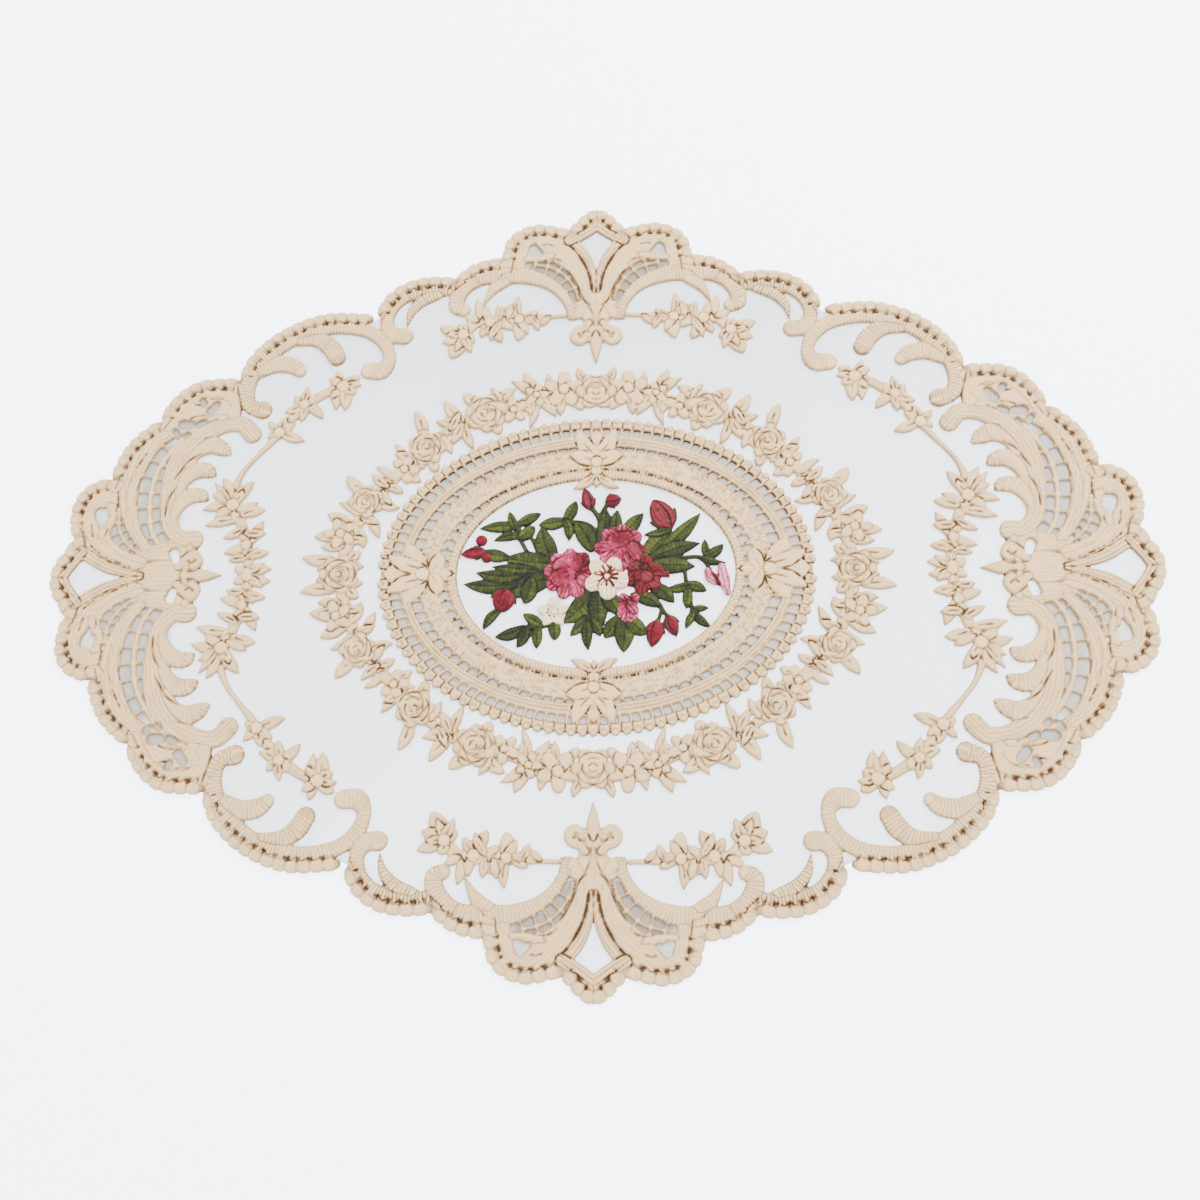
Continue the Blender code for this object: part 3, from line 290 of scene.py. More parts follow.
# where close bars shade the cloth, in one quarter: the middle, the half sizes and the strength
shadedCloth = {
    "crestFoot": (9, 126.5, 5.5, 5.5, 1.0), "crest": (12.5, 133, 6.8, 6.5, 1.0),
    "crestEnd": (21.5, 139, 10, 6.5, 1.0), "crestEye": (25.5, 146.5, 5, 4.5, 0.5),
    "fan": (182, 34, 10.5, 32, 0.75), "end": (195.5, 16.5, 8, 10, 0.8), "endEye": (206, 26, 5, 5, 0.35),
    "shoulder": (173, 66.5, 10, 7, 0.8), "shoulderEye": (164.5, 75.5, 7, 6, 0.8),
}


def organzaMaterial():
    # a weave of two waves and a soft cloud, darker towards the far long side as painted shade, darker and
    # warmer between the rings of the frame as painted shade of its small windows, and darker and closer
    # where bars shade it
    material, add, sums, dress = newMaterial("organza", {"Roughness": 0.55, "Sheen Weight": 0.15})

    def vector(operation, output, *values):
        # one operation on vectors
        return add("VectorMath", output, dict(enumerate(values)), operation=operation)

    def faded(source, low, high, start, end):
        # start at low, end at high, and even between
        return add("MapRange", "Result", {"Value": source, "From Min": low, "From Max": high,
                                          "To Min": start, "To Max": end})

    def shadedBy(factor, colour, shade):
        # colour * (1 - factor + factor * shade)
        return add("Mix", "Result", {"Factor": factor, "A": colour, "B": (*shade, 1)}, data_type="RGBA",
                   blend_type="MULTIPLY")

    place = add("TexCoord", "Object")
    waves = [add("TexWave", "Fac", {"Vector": place, "Scale": bandsPerPitch / ground["thread"],
                                    "Distortion": 0.8, "Detail": 1}, bands_direction=axis) for axis in "XY"]
    weave = sums("MAXIMUM", *waves)
    cloud = add("TexNoise", "Fac", {"Vector": place, "Scale": 9})
    colour = addRamp(add, sums("MULTIPLY_ADD", weave, 0.5, cloud),
                     [(0, [0.85 * v for v in ground["colour"]]), (1, ground["colour"])])
    # painted shade of the frame's small windows, between its rings: |sqrt((x / halfX)^2 + (y / halfY)^2) -
    # 1| < frameReach
    halfX, halfY = ground["frameOval"]
    reach = vector("LENGTH", "Value", vector("MULTIPLY", "Vector", place, (1 / halfX, 1 / halfY, 0)))
    inFrame = sums("COMPARE", reach, 1.0, ground["frameReach"])
    colour = shadedBy(faded(inFrame, 0, 1, 0, 0.9), colour, ground["frameShade"])
    # under the bars sqrt(((|x| - middle) / half)^2 + ((|y| - middle) / half)^2) < 1
    folded, dark = vector("ABSOLUTE", "Vector", place), 0.0
    for x, y, halfX, halfY, strength in shadedCloth.values():
        spot = vector("MULTIPLY_ADD", "Vector", folded, (1 / mm / halfX, 1 / mm / halfY, 0),
                      (-x / halfX, -y / halfY, 0))
        dark = sums("MAXIMUM", faded(vector("LENGTH", "Value", spot), 0.75, 1.1, strength, 0), dark)
    colour = shadedBy(dark, colour, ground["barShade"])
    # painted shade: darker towards the far long side, from y = 0 to 0.12 m
    farShade = faded(add("SeparateXYZ", "Y", {0: place}), 0.0, 0.12, 1.0, ground["dullSide"])
    scaled = add("VectorMath", "Vector", {0: colour, "Scale": farShade}, operation="SCALE")
    # the cloth is closer where its painted shade lies, so that less of the bright floor shows through
    closer = sums("MAXIMUM", faded(dark, 0, 1, ground["sheer"], ground["sheerInShade"]),
                  faded(inFrame, 0, 1, ground["sheer"], ground["sheerInFrame"]))
    normal = add("Bump", "Normal", {"Strength": 0.3, "Distance": 0.00005, "Height": weave})
    dress({"Base Color": scaled, "Alpha": closer, "Normal": normal})
    return material


organza = makePiece("organzaGround", [groundSheet()], organzaMaterial(), "sheer_fabric", ["sheer_ground"])
thick = organza.modifiers.new("thickness", "SOLIDIFY")
thick.thickness = layer["sheetThick"] * mm
thick.offset = 1

# relief plates
# how round the stitching is, how deep its pits and creases are and how dark their painted shade is, and how
# many cells of the level grid one face of the underside takes
relief = {"roundness": 2.4, "pitDepth": 0.95, "pitShade": 0.68, "creaseShade": 0.9, "underside": 4}


def patchy(x, y, pitch, seed):
    # smooth noise from -1 to 1: random values on a lattice, eased between its corners
    lattice, shift = 256, 40
    values = np.random.default_rng(seed).uniform(-1, 1, (lattice + 1, lattice + 1))
    i, j = x / pitch + shift, y / pitch + shift
    i0, j0 = np.floor(i).astype(int) % lattice, np.floor(j).astype(int) % lattice
    a, b = i - np.floor(i), j - np.floor(j)
    a, b = a * a * (3 - 2 * a), b * b * (3 - 2 * b)
    return ((values[i0, j0] * (1 - a) + values[i0 + 1, j0] * a) * (1 - b)
            + (values[i0, j0 + 1] * (1 - a) + values[i0 + 1, j0 + 1] * a) * b)


def newField(box, cell, blend):
    # a level grid over a box (left, near, right, far), to be filled by strokes
    left, near, right, far = box
    x, y = np.meshgrid(np.arange(left, right, cell), np.arange(near, far, cell), indexing="ij")
    field = {"x": x, "y": y, "cell": cell, "blend": blend, "sum": np.full_like(x, 1e-12)}
    field.update({key: np.full_like(x, 99.0) for key in ("first", "second")})
    field.update({key: np.zeros_like(x) for key in ("lift", "tint", "rib", "u", "v", "pit", "mark")})
    field["hole"] = np.full_like(x, -9.0)
    return field


def measured(field, rows, reach):
    # at each grid point near the line: the distance outside the stroke, the length along it,
    # the signed distance from its middle line, and the half width there
    line = np.vstack([smoothLine(rows)[::3], rows[-1]])
    pad = line[:, 2].max() / 2 + reach
    x, y = field["x"], field["y"]
    i = slice(*np.searchsorted(x[:, 0], (line[:, 0].min() - pad, line[:, 0].max() + pad)))
    j = slice(*np.searchsorted(y[0], (line[:, 1].min() - pad, line[:, 1].max() + pad)))
    px, py = x[i, j].ravel(), y[i, j].ravel()
    step = np.diff(line, axis=0)
    size = np.hypot(step[:, 0], step[:, 1]) + 1e-9
    ox, oy = px[:, None] - line[None, :-1, 0], py[:, None] - line[None, :-1, 1]
    u = ((ox * step[:, 0] + oy * step[:, 1]) / size**2).clip(0, 1)
    half = (line[:-1, 2] + u * step[:, 2]) / 2
    gap = np.hypot(ox - u * step[:, 0], oy - u * step[:, 1]) - half
    best, row = gap.argmin(1), np.arange(len(px))
    side = (step[best, 0] * oy[row, best] - step[best, 1] * ox[row, best]) / size[best]
    run = np.append(0, np.cumsum(size))[best] + u[row, best] * size[best]
    shape = x[i, j].shape
    found = {"gap": gap[row, best], "run": run, "side": side, "half": half[row, best]}
    return (i, j), {key: value.reshape(shape) for key, value in found.items()}, size.sum()


def lay(field, window, wins, **values):
    # where a stroke wins, its own values take the place of those below it
    for key, value in values.items():
        field[key][window] = np.where(wins, value, field[key][window])


plainStroke = {"rise": 0.0, "tint": 0.78, "rib": 0.35, "along": False, "cords": 0, "dome": 0.12,
               "fade": (1.0, 1.0), "over": 0.0, "under": 0.0, "grain": 0.0, "shade": None}


def addStroke(field, rows, **changes):
    # the stroke that lies deepest at a point gives it its height, tint and stitch direction; one laid over
    # the others takes all that is inside it, with a crease along its outline that is darkened as painted
    # shade
    look = {**plainStroke, **changes}
    window, at, full = measured(field, rows, 2.5)
    x, y = field["x"][window], field["y"][window]
    t = at["side"] / (at["half"] + 0.2)
    lift = look["rise"] + look["dome"] * (1 - t**2).clip(-1)
    tint = np.full_like(t, look["tint"] + rng.uniform(-0.02, 0.02))
    if look["shade"]:
        tint = look["shade"](x, y, t, at["run"] / full)
    if look["cords"]:
        # painted shade in the grooves between the cords
        cord = np.abs(np.sin(math.pi * look["cords"] * (t.clip(-1, 1) + 1) / 2))
        lift, tint = lift - 0.55 * (1 - cord) ** 2, tint - 0.42 * (1 - cord) ** 3
    if look["grain"]:
        specks = patchy(x, y, 1.1, 5)
        lift, tint = lift + look["grain"] * 0.35 * specks, tint + look["grain"] * specks
    fade = np.interp(at["run"], [0, full], look["fade"]) * look["rib"]
    offset = rng.uniform(0, 60)
    u, v = at["run"] + offset, at["side"] + offset
    if look["along"]:
        u, v = v * 0.8, u
    gap, first, second = at["gap"], field["first"][window], field["second"][window]
    if look["over"]:
        seam = np.exp(-((gap + 0.05) / 0.38) ** 2) * ((-first - 0.3) / 0.4).clip(0, 1)
        broken = (0.62 + 0.9 * patchy(x, y, 2.3, 7)).clip(0, 1)
        inside = gap < 0
        mark = np.where(inside, 0, field["mark"][window])
        field["mark"][window] = np.maximum(mark, look["over"] * seam * broken)
        field["pit"][window] = np.where(inside, 0, field["pit"][window])
        wins = inside | (gap < first)
        field["second"][window] = np.where(wins, 99.0, second)
    else:
        gap = gap + look["under"]
        wins = gap < first
        field["second"][window] = np.where(wins, first, np.minimum(second, gap))
    lay(field, window, wins, first=gap, lift=lift, tint=tint, rib=fade, u=u, v=v)
    field["sum"][window] += np.exp((-at["gap"] / field["blend"]).clip(-60, 24))


def addHole(field, rows):
    # an opening with round ends, cut through all that lies there
    window, at = measured(field, rows, 1.5)[:2]
    field["hole"][window] = np.maximum(field["hole"][window], -at["gap"])


# pillows of the edging: how wide and deep the creases between them are and how dark their painted shade is,
# how far they cut into the outline, how high the pillows swell, and how wide and long the pits of painted
# shadow are
pillow = {"crease": 0.45, "depth": 0.6, "shade": 0.42, "notch": 0.75, "swell": 0.5, "pitWidth": 1.25,
          "pitLength": 0.95, "tint": 0.8}


def addBeads(field, rows, pitch, half, outward):
    # a band of pillows: a crease across it once a pitch, darkened with painted shade, and a pit of painted
    # shadow where each crease meets the inner side
    rows = [(*p[:2], 2 * half) for p in rows]
    window, at, full = measured(field, rows, 3.5)
    pitch = full / max(1, round(full / pitch))
    beat = at["run"] / pitch
    number = np.floor(beat).astype(int)
    seed = np.random.default_rng(len(rows) + int(full)).uniform(0, 1, number.max() + 3)[number.clip(0)]
    away = (beat - np.round(beat)) * pitch
    outer = at["side"] * outward
    crease = np.exp(-(away / pillow["crease"]) ** 2) * (0.9 - 0.5 * ((outer + 0.6) / 1.6).clip(0, 1))
    crease = crease * (0.5 + 0.5 * seed)
    gap = at["gap"] + pillow["notch"] * np.exp(-(away / 0.7) ** 2)
    swell = (1 - (2 * away / pitch) ** 2) * (1 - (outer / half) ** 2).clip(-1)
    wins = gap < field["first"][window] + 0.6
    lift = pillow["swell"] * swell - pillow["depth"] * crease
    tint = pillow["tint"] - pillow["shade"] * crease
    lay(field, window, wins, second=99.0, first=gap, lift=lift, tint=tint, rib=0.25, u=at["run"],
        v=at["side"])
    field["sum"][window] += np.exp((-gap / field["blend"]).clip(-60, 24))
    shift = away + 0.5 * (seed - 0.5)
    wide = pillow["pitWidth"] * (0.7 + 0.5 * seed) * (1 - 0.5 * ((outer + 2.7) / 1.6).clip(-1, 1))
    inner = outer + half + 0.2
    spot = np.exp(-(shift / wide) ** 4) * np.exp(-(inner / (pillow["pitLength"] + 0.35 * seed)) ** 4)
    spot = spot * (0.7 + 0.3 * seed) * (at["run"] > 0.3) * (at["run"] < full - 0.3)
    # a broken line of painted shade along the inner side
    line = np.exp(-((inner + 0.4 * np.sin(at["run"] * 1.3)) / 0.3) ** 2)
    line = line * (0.3 + 0.8 * patchy(at["run"], 3.0, 3.0, 6)).clip(0, 1)
    field["mark"][window] = np.maximum(field["mark"][window], 0.9 * line * (at["run"] > 0.2))
    field["pit"][window] = np.maximum(field["pit"][window], spot)


def addMark(field, rows, width=0.42, dash=0.0, share=0.6, strength=1.0, seed=1):
    # a crease along a line, whole or in dashes, pressed in and darkened: painted shade in creases, gaps and
    # windows, and dark stitching where it draws veins and rays
    window, at = measured(field, [(*p[:2], 0) for p in rows], 2.0)[:2]
    depth = np.exp(-(np.abs(at["gap"]) / max(width, 0.92 * field["cell"])) ** 2.4)
    if dash:
        beat = at["run"] / dash + 0.25 * np.sin(at["run"] * 1.7 + seed)
        depth = depth * (1 / (1 + np.exp(-14 * (share / 2 - np.abs(beat - np.round(beat))))))
    depth = depth * (0.75 + 0.25 * np.sin(at["run"] * 0.9 + seed))
    field["mark"][window] = np.maximum(field["mark"][window], strength * depth)


def cellQuads(cells, columns):
    # the corners of each marked cell, in order round it
    i, j = np.nonzero(cells)
    corner = i * columns + j
    return np.column_stack([corner, corner + columns, corner + columns + 1, corner + 1])


def raised(field, crown=1.15, rounding=1.2, overlap=0.8, rim=0.26, markDepth=0.75):
    # height = crown * (1 - (1 - depth / rounding)^2.4)^(1 / 2.4) inside the strokes' joint outline,
    # plus their own relief, less the pits and the creases where one stroke laps over another
    x, y, cell = field["x"], field["y"], field["cell"]
    edge = np.maximum(-field["blend"] * np.log(field["sum"]), field["hole"])
    depth = (-edge).clip(0)
    share = (depth / rounding).clip(0, 1)
    wander = 0.55 + 0.75 * patchy(x, y, 2.6, 7)
    lap = np.exp(-((field["second"] - field["first"]) / 0.42) ** 2)
    lap = lap * ((-field["second"] - 0.2) / 0.5).clip(0, 1)
    lap = lap * overlap * wander.clip(0, 1)
    dark = np.maximum(lap, field["mark"])
    top = crown * (1 - (1 - share) ** relief["roundness"]) ** (1 / relief["roundness"])
    top = top + (field["lift"] + 0.07 * patchy(x, y, 5.5, 3)) * share - markDepth * dark * share
    top = top - relief["pitDepth"] * field["pit"] * share
    z = layer["lace"] + layer["foot"] + top.clip(0.02)
    # painted shade: the tint darkens in a band along the outline, in the creases and laps, and in the pits
    tint = field["tint"] + 0.035 * patchy(x, y, 4, 9) - rim * np.exp(-(depth / 0.42) ** 2)
    tint = tint - relief["creaseShade"] * dark - relief["pitShade"] * field["pit"]
    # every cell that the outline touches, its outer corners drawn in to the outline
    inside = edge < 0
    quads = cellQuads(inside[:-1, :-1] | inside[1:, :-1] | inside[:-1, 1:] | inside[1:, 1:], x.shape[1])
    slopeX, slopeY = np.gradient(edge, cell)
    steep = slopeX**2 + slopeY**2 + 0.05
    out = edge > 0
    px, py = x - out * edge * slopeX / steep, y - out * edge * slopeY / steep
    px, py = np.where(x == 0, 0, px), np.where(y == 0, 0, py)
    z = np.where(out, layer["lace"] + layer["foot"], z)
    used, flat = np.unique(quads, return_inverse=True)
    quads = flat.reshape(quads.shape)
    grids = [a.ravel()[used] for a in (px, py, z, tint, field["rib"], field["u"], field["v"])]
    # a wall from the rim down to the sheet, from the edges that only one face has
    ends = np.stack([quads, np.roll(quads, -1, 1)], -1).reshape(-1, 2)
    keys = ends.min(1).astype(np.int64) * len(used) + ends.max(1)
    order, counts = np.unique(keys, return_index=True, return_counts=True)[1:]
    rims = ends[order[counts == 1]]
    onMirror = [(np.abs(grids[k][rims]) < 1e-6).all(1) for k in (0, 1)]
    rims = rims[~(onMirror[0] | onMirror[1])]
    feet, inverse = np.unique(rims, return_inverse=True)
    inverse = inverse.reshape(rims.shape) + len(used)
    wall = np.column_stack([rims[:, 0], inverse[:, 0], inverse[:, 1], rims[:, 1]])
    grids = [np.append(a, a[feet]) for a in grids]
    grids[2][len(used):] = layer["lace"]
    # a coarse underside
    skip = (slice(None, None, relief["underside"]),) * 2
    coarse, bx, by = inside[skip], x[skip], y[skip]
    whole = coarse[:-1, :-1] & coarse[1:, :-1] & coarse[:-1, 1:] & coarse[1:, 1:]
    under = cellQuads(whole, bx.shape[1])[:, [0, 3, 2, 1]]
    corners, back = np.unique(under, return_inverse=True)
    under = back.reshape(under.shape) + len(grids[0])
    bx, by, ones = bx.ravel()[corners], by.ravel()[corners], np.ones(len(corners))
    below = (bx, by, layer["lace"] * ones, 0.7 * ones, 0 * ones, bx, by)
    grids = [np.append(a, b) for a, b in zip(grids, below)]
    made = part(np.column_stack(grids[:3]), np.column_stack(grids[5:]), grids[3],
                np.vstack([quads, wall, under]))
    return {**made, "rib": grids[4]}


# lace border
border = {"box": (0, 0, 225, 169), "cell": 0.455, "blend": 0.45, "overlap": 0.3, "bead": 5.05,
          "halfBead": 2.45}
# x, y and full width along each scroll of one quarter, and how it is stitched
satin, calm = {"rib": 0.75}, {"rib": 0.3, "along": True, "dome": 0.05}
feathered = {"rib": 0.9, "fade": (1.0, 0.0)}
corded = {"rib": 0.2, "along": True, "cords": 3, "over": 1.0, "rise": 0.1}
scrolls = {
    "crestBody": ([(0, 130, 4.6), (0, 124, 8), (0, 119, 12.5), (0, 115, 12), (0, 110, 7.5),
                   (0, 105, 5)], calm),
    "crestRoot": ([(3, 119.5, 7), (7.4, 117.2, 7.4), (9.4, 115.6, 4.6)], calm),
    "crestSpur": ([(8.6, 115.8, 4.4), (12, 113.4, 0.5)], calm),
    "crestCurl": ([(4.2, 121, 3.4), (5.1, 127.6, 5.2), (6.9, 134, 7.2), (10.6, 140.1, 8.4),
                   (15.4, 145.4, 11), (20.4, 149.8, 10), (26, 153.2, 7.0), (32.4, 151.2, 8.6),
                   (34.2, 144.6, 8.4), (34, 139, 6)], calm),
    "crestBurst": ([(16.6, 145, 7.4), (21.6, 143.2, 4.2), (27, 142.4, 2.6), (32.4, 142.2, 3)], calm),
    "arm": ([(9.8, 115.6, 5), (11.8, 120.6, 4.2), (15.8, 126.4, 4.6), (21.8, 131, 5.6),
             (30.5, 134.2, 7.2), (40, 135, 8.2), (48.6, 134.6, 7.8), (55.4, 131.4, 7.4),
             (59.6, 126, 7.2), (60.4, 120.6, 6.8), (57.2, 118.6, 6)], {"rib": 0.8, "fade": (0.5, 1.0)}),
    "armThorn": ([(40, 132.4, 6.4), (45, 127.8, 4.4), (48.8, 120.6, 0.5)], {"rib": 0.4}),
    "smallArch": ([(82.6, 107, 7.6), (86.6, 107.4, 7), (90.2, 111.8, 6), (89.8, 118.6, 6.2),
                   (85.2, 124.8, 6.6), (77.6, 128.4, 6.6), (69, 128.8, 6.6), (61.5, 128.6, 5)],
     {"rib": 1.3, "fade": (0.2, 1.2)}),
    "smallThorn": ([(69, 127, 5.6), (76, 123.4, 5.4), (80.2, 118, 3.6), (81.6, 111.8, 0.5)],
     {"rib": 1.1}),
    "longArch": ([(97, 91, 7.4), (91.5, 91.2, 8), (88.6, 96.4, 5.6), (91, 103.6, 6), (97.6, 109.2, 6.2),
                  (106.5, 111.8, 6.6), (116, 112, 6.8), (126, 109.6, 7.2), (135.2, 104.8, 7.6),
                  (142.8, 98, 7.8), (147.6, 90, 7.2), (149, 82, 6.4), (147, 75.6, 6.4), (141.5, 73.6, 8)],
     {"rib": 1.0, "fade": (0.5, 1.0)}),
    "longComma": ([(111.4, 97.6, 7.6), (114.6, 102.6, 8), (120.5, 106, 6.4), (128, 106.2, 5)], satin),
    "shortComma": ([(127, 91.6, 5.6), (130.6, 94.2, 7.4), (137, 95, 7.6), (144, 92, 6)], satin),
    "shoulderFill": ([(156, 75, 8), (162, 76.5, 10.5), (170, 74.5, 11), (176.5, 69, 9), (181, 63, 5)], calm),
    "shoulderCurl": ([(154.4, 71.6, 7), (154.8, 77.4, 7.8), (160, 81.2, 7.6), (167, 81.8, 8.4),
                      (174, 78.4, 9.8), (178.8, 71.8, 9.8), (181, 65.6, 8)], {**calm, "fade": (0.3, 0.8)}),
    "shoulderWeb": ([(166, 69.4, 2.2), (167.2, 73.6, 3.6), (171, 76.4, 5)], calm),
    "shoulderBar": ([(156.5, 70.2, 5), (163.5, 69.4, 3), (170.2, 66.2, 1.6), (176.6, 63.4, 2.6)], calm),
    "flankCurl": ([(182, 9.4, 3.6), (187.6, 14.8, 4.6), (192.2, 22.6, 6.2), (195, 32, 7.8),
                   (195.4, 41.6, 9.0), (194, 49.6, 11.4), (191.6, 55.8, 12), (186.6, 61, 9.4),
                   (182, 63.4, 7)], {"rib": 0.45, "along": True}),
    "fanInner": ([(166, 15.6, 8.6), (171.5, 16.4, 7), (176, 21.5, 6.8), (177.6, 29, 7),
                  (177.4, 38, 8.4), (175.8, 47.5, 9.4), (171.8, 56.5, 9.4), (165.5, 63, 8.2),
                  (157, 66.8, 7), (149.5, 67, 7.4), (145, 62.6, 8)], {"rib": 0.5, "along": True}),
    "featherLow": ([(154.4, 54.0, 2.6), (157.6, 56.2, 6.6), (162.6, 57.8, 7.8), (168.5, 54.8, 6.6),
                    (172.5, 49, 6)], feathered),
    "featherMid": ([(160.0, 44.4, 2.6), (162.8, 46.2, 6.6), (167.0, 46.4, 7.4), (171.6, 43, 6.6),
                    (175, 37.5, 6)], feathered),
    "featherHigh": ([(162.2, 33.6, 2.6), (164.8, 35.2, 6.2), (169, 34.8, 7), (173.4, 31, 6.2),
                     (176, 26, 5)], feathered),
    "endJoint": ([(197.5, 40.5, 6), (203.5, 39.4, 6)], calm),
    "shoulderJoint": ([(149.6, 83, 5), (154.6, 84, 5)], calm),
    "crestJoint": ([(35.5, 142.5, 6), (42.5, 138.6, 5.4)], calm),
    "tipJoint": ([(210.5, 17.5, 6), (216.2, 13.2, 5)], calm),
    "endFill": ([(186, 7, 3.6), (192, 8.6, 2.8), (198, 12, 2.6), (202.6, 17.4, 2.6),
                 (203.2, 23, 3.2)], calm),
    "hubWeb": ([(167, 9.6, 4.6), (173, 10.4, 8.4), (179.6, 10.2, 7.6), (184.6, 9.6, 5)], calm),
    "endCurl": ([(186, 3.6, 3.6), (193, 5.4, 5.0), (200, 8.6, 6.4), (206.4, 13.8, 8.6), (211, 21.5, 9.4),
                 (211.6, 29.8, 9.4), (206.6, 35, 9.6), (202.4, 34, 7)], {"rib": 0.35, "along": True}),
    "endInner": ([(202.6, 33, 5), (201, 27.4, 3.2), (202, 22.6, 3.2), (205.6, 17.4, 5)], calm),
    "hub": ([(190, 0, 5.5), (184, 0, 10), (178, 0, 13.5), (171, 0, 12), (165.5, 0, 6.4)], calm),
    "hubTie": ([(174.6, 14.5, 2.6), (179.5, 10.4, 2.2), (184, 7.8, 2.4)], calm),
    "hubLink": ([(167.2, 8, 4.4), (166.6, 13, 5)], calm),
    "hubEye": ([(164.4, 6.2, 4), (166.0, 6.4, 4)], calm),
    "crestEye": ([(3.8, 104.6, 4.4), (7.4, 105.2, 4)], calm),
    "hubVolute": ([(170.6, 4, 4), (167.6, 7, 4.4), (164.6, 8.6, 4.4), (162.8, 5.6, 3.6),
                   (165, 3.6, 2.6)], {**calm, "over": 0.7}),
    "crestVolute": ([(3, 111, 3.2), (5.2, 108.8, 3.4), (8.4, 107.4, 3.6), (9.3, 104.4, 3.8),
                     (7.0, 102.4, 3.6), (4.6, 103.4, 2.6)], {**calm, "over": 0.7}),
    "crestLeaf": ([(0, 106.0, 2.4), (0, 102.2, 4.8), (0, 98.6, 4), (0, 92.6, 0.5)],
     {"rib": 0.2, "over": 1.0, "dome": 0.2}),
    "hubLeaf": ([(168, 0, 4), (163.6, 0, 5.6), (159.6, 0, 5), (153.0, 0, 0.5)],
     {"rib": 0.2, "over": 0.6, "dome": 0.15}),
    "crestFrameSide": ([(0.8, 126, 1.8), (1.2, 132.5, 2.6), (2.7, 139, 3.6), (6.4, 145.8, 4.6),
                        (11.2, 150.8, 4.6)], corded),
    "crestFramePoint": ([(11.8, 150.8, 4.8), (5.6, 154.8, 5.4), (0, 158.9, 5.4)], corded),
    "endFrameSide": ([(186, 0.6, 2), (194, 2.0, 3.6), (202.5, 5.0, 4.8), (212.3, 11.0, 4.8)], corded),
    "endFramePoint": ([(212.3, 11.0, 4.8), (217, 5.2, 5), (220.2, 0, 5)], corded),
}
# open ladders: the line of the cord, its width, how far the bars reach and their pitch
ladders = {
    "crest": ([(7.8, 122.8), (9.2, 127.6), (11.8, 131.9), (15.2, 135.4), (19.8, 138.2), (26.6, 139.8)],
              0.9, 4.6, 5.2),
    "end": ([(184.6, 8.4), (190.6, 11.6), (195.2, 16), (197.8, 21.4), (198.4, 27.6)], 1.1, 4.2, 4.6),
    "fan": ([(179, 12), (183.6, 19), (185.5, 28), (185.6, 37), (184, 45.5), (180.4, 53),
             (175, 60), (170.6, 65)], 1.9, 6.0, 6.5),
}
# one bar of a ladder: its width where it meets the lace and in the middle, and how it is stitched
bar = {"foot": 0.8, "waist": 0.65, "rise": -0.35, "tint": 0.84}
# openings cut through the plates: a line and its width
openings = [
    [(172.4, 7.0, 3.4), (173.4, 9.8, 4.0)], [(161.4, 76.4, 3.0), (164.0, 73.2, 3.8)],
    [(167.0, 76.8, 2.8), (167.8, 78.2, 2.8)], [(166.2, 68.2, 2.8), (168.2, 67.2, 2.8)],
    [(172.0, 67.2, 4.0), (175.2, 67.4, 4.2)], [(177.2, 62.8, 2.6), (178.2, 64.4, 2.6)],
    [(172.4, 62.9, 2.2), (173.4, 61.9, 2.2)], [(206.0, 25.6, 4.2), (206.6, 28.0, 4.4)],
]
# the narrow barred slit beside each crest's open point, a dashed crease darkened with painted shade
slit = {"path": [(1.8, 127), (2.7, 132.6), (4.8, 138.6), (8.3, 144.6), (11.6, 148.6)], "width": 0.62,
        "dash": 5.6, "share": 0.88, "depth": 1.35}
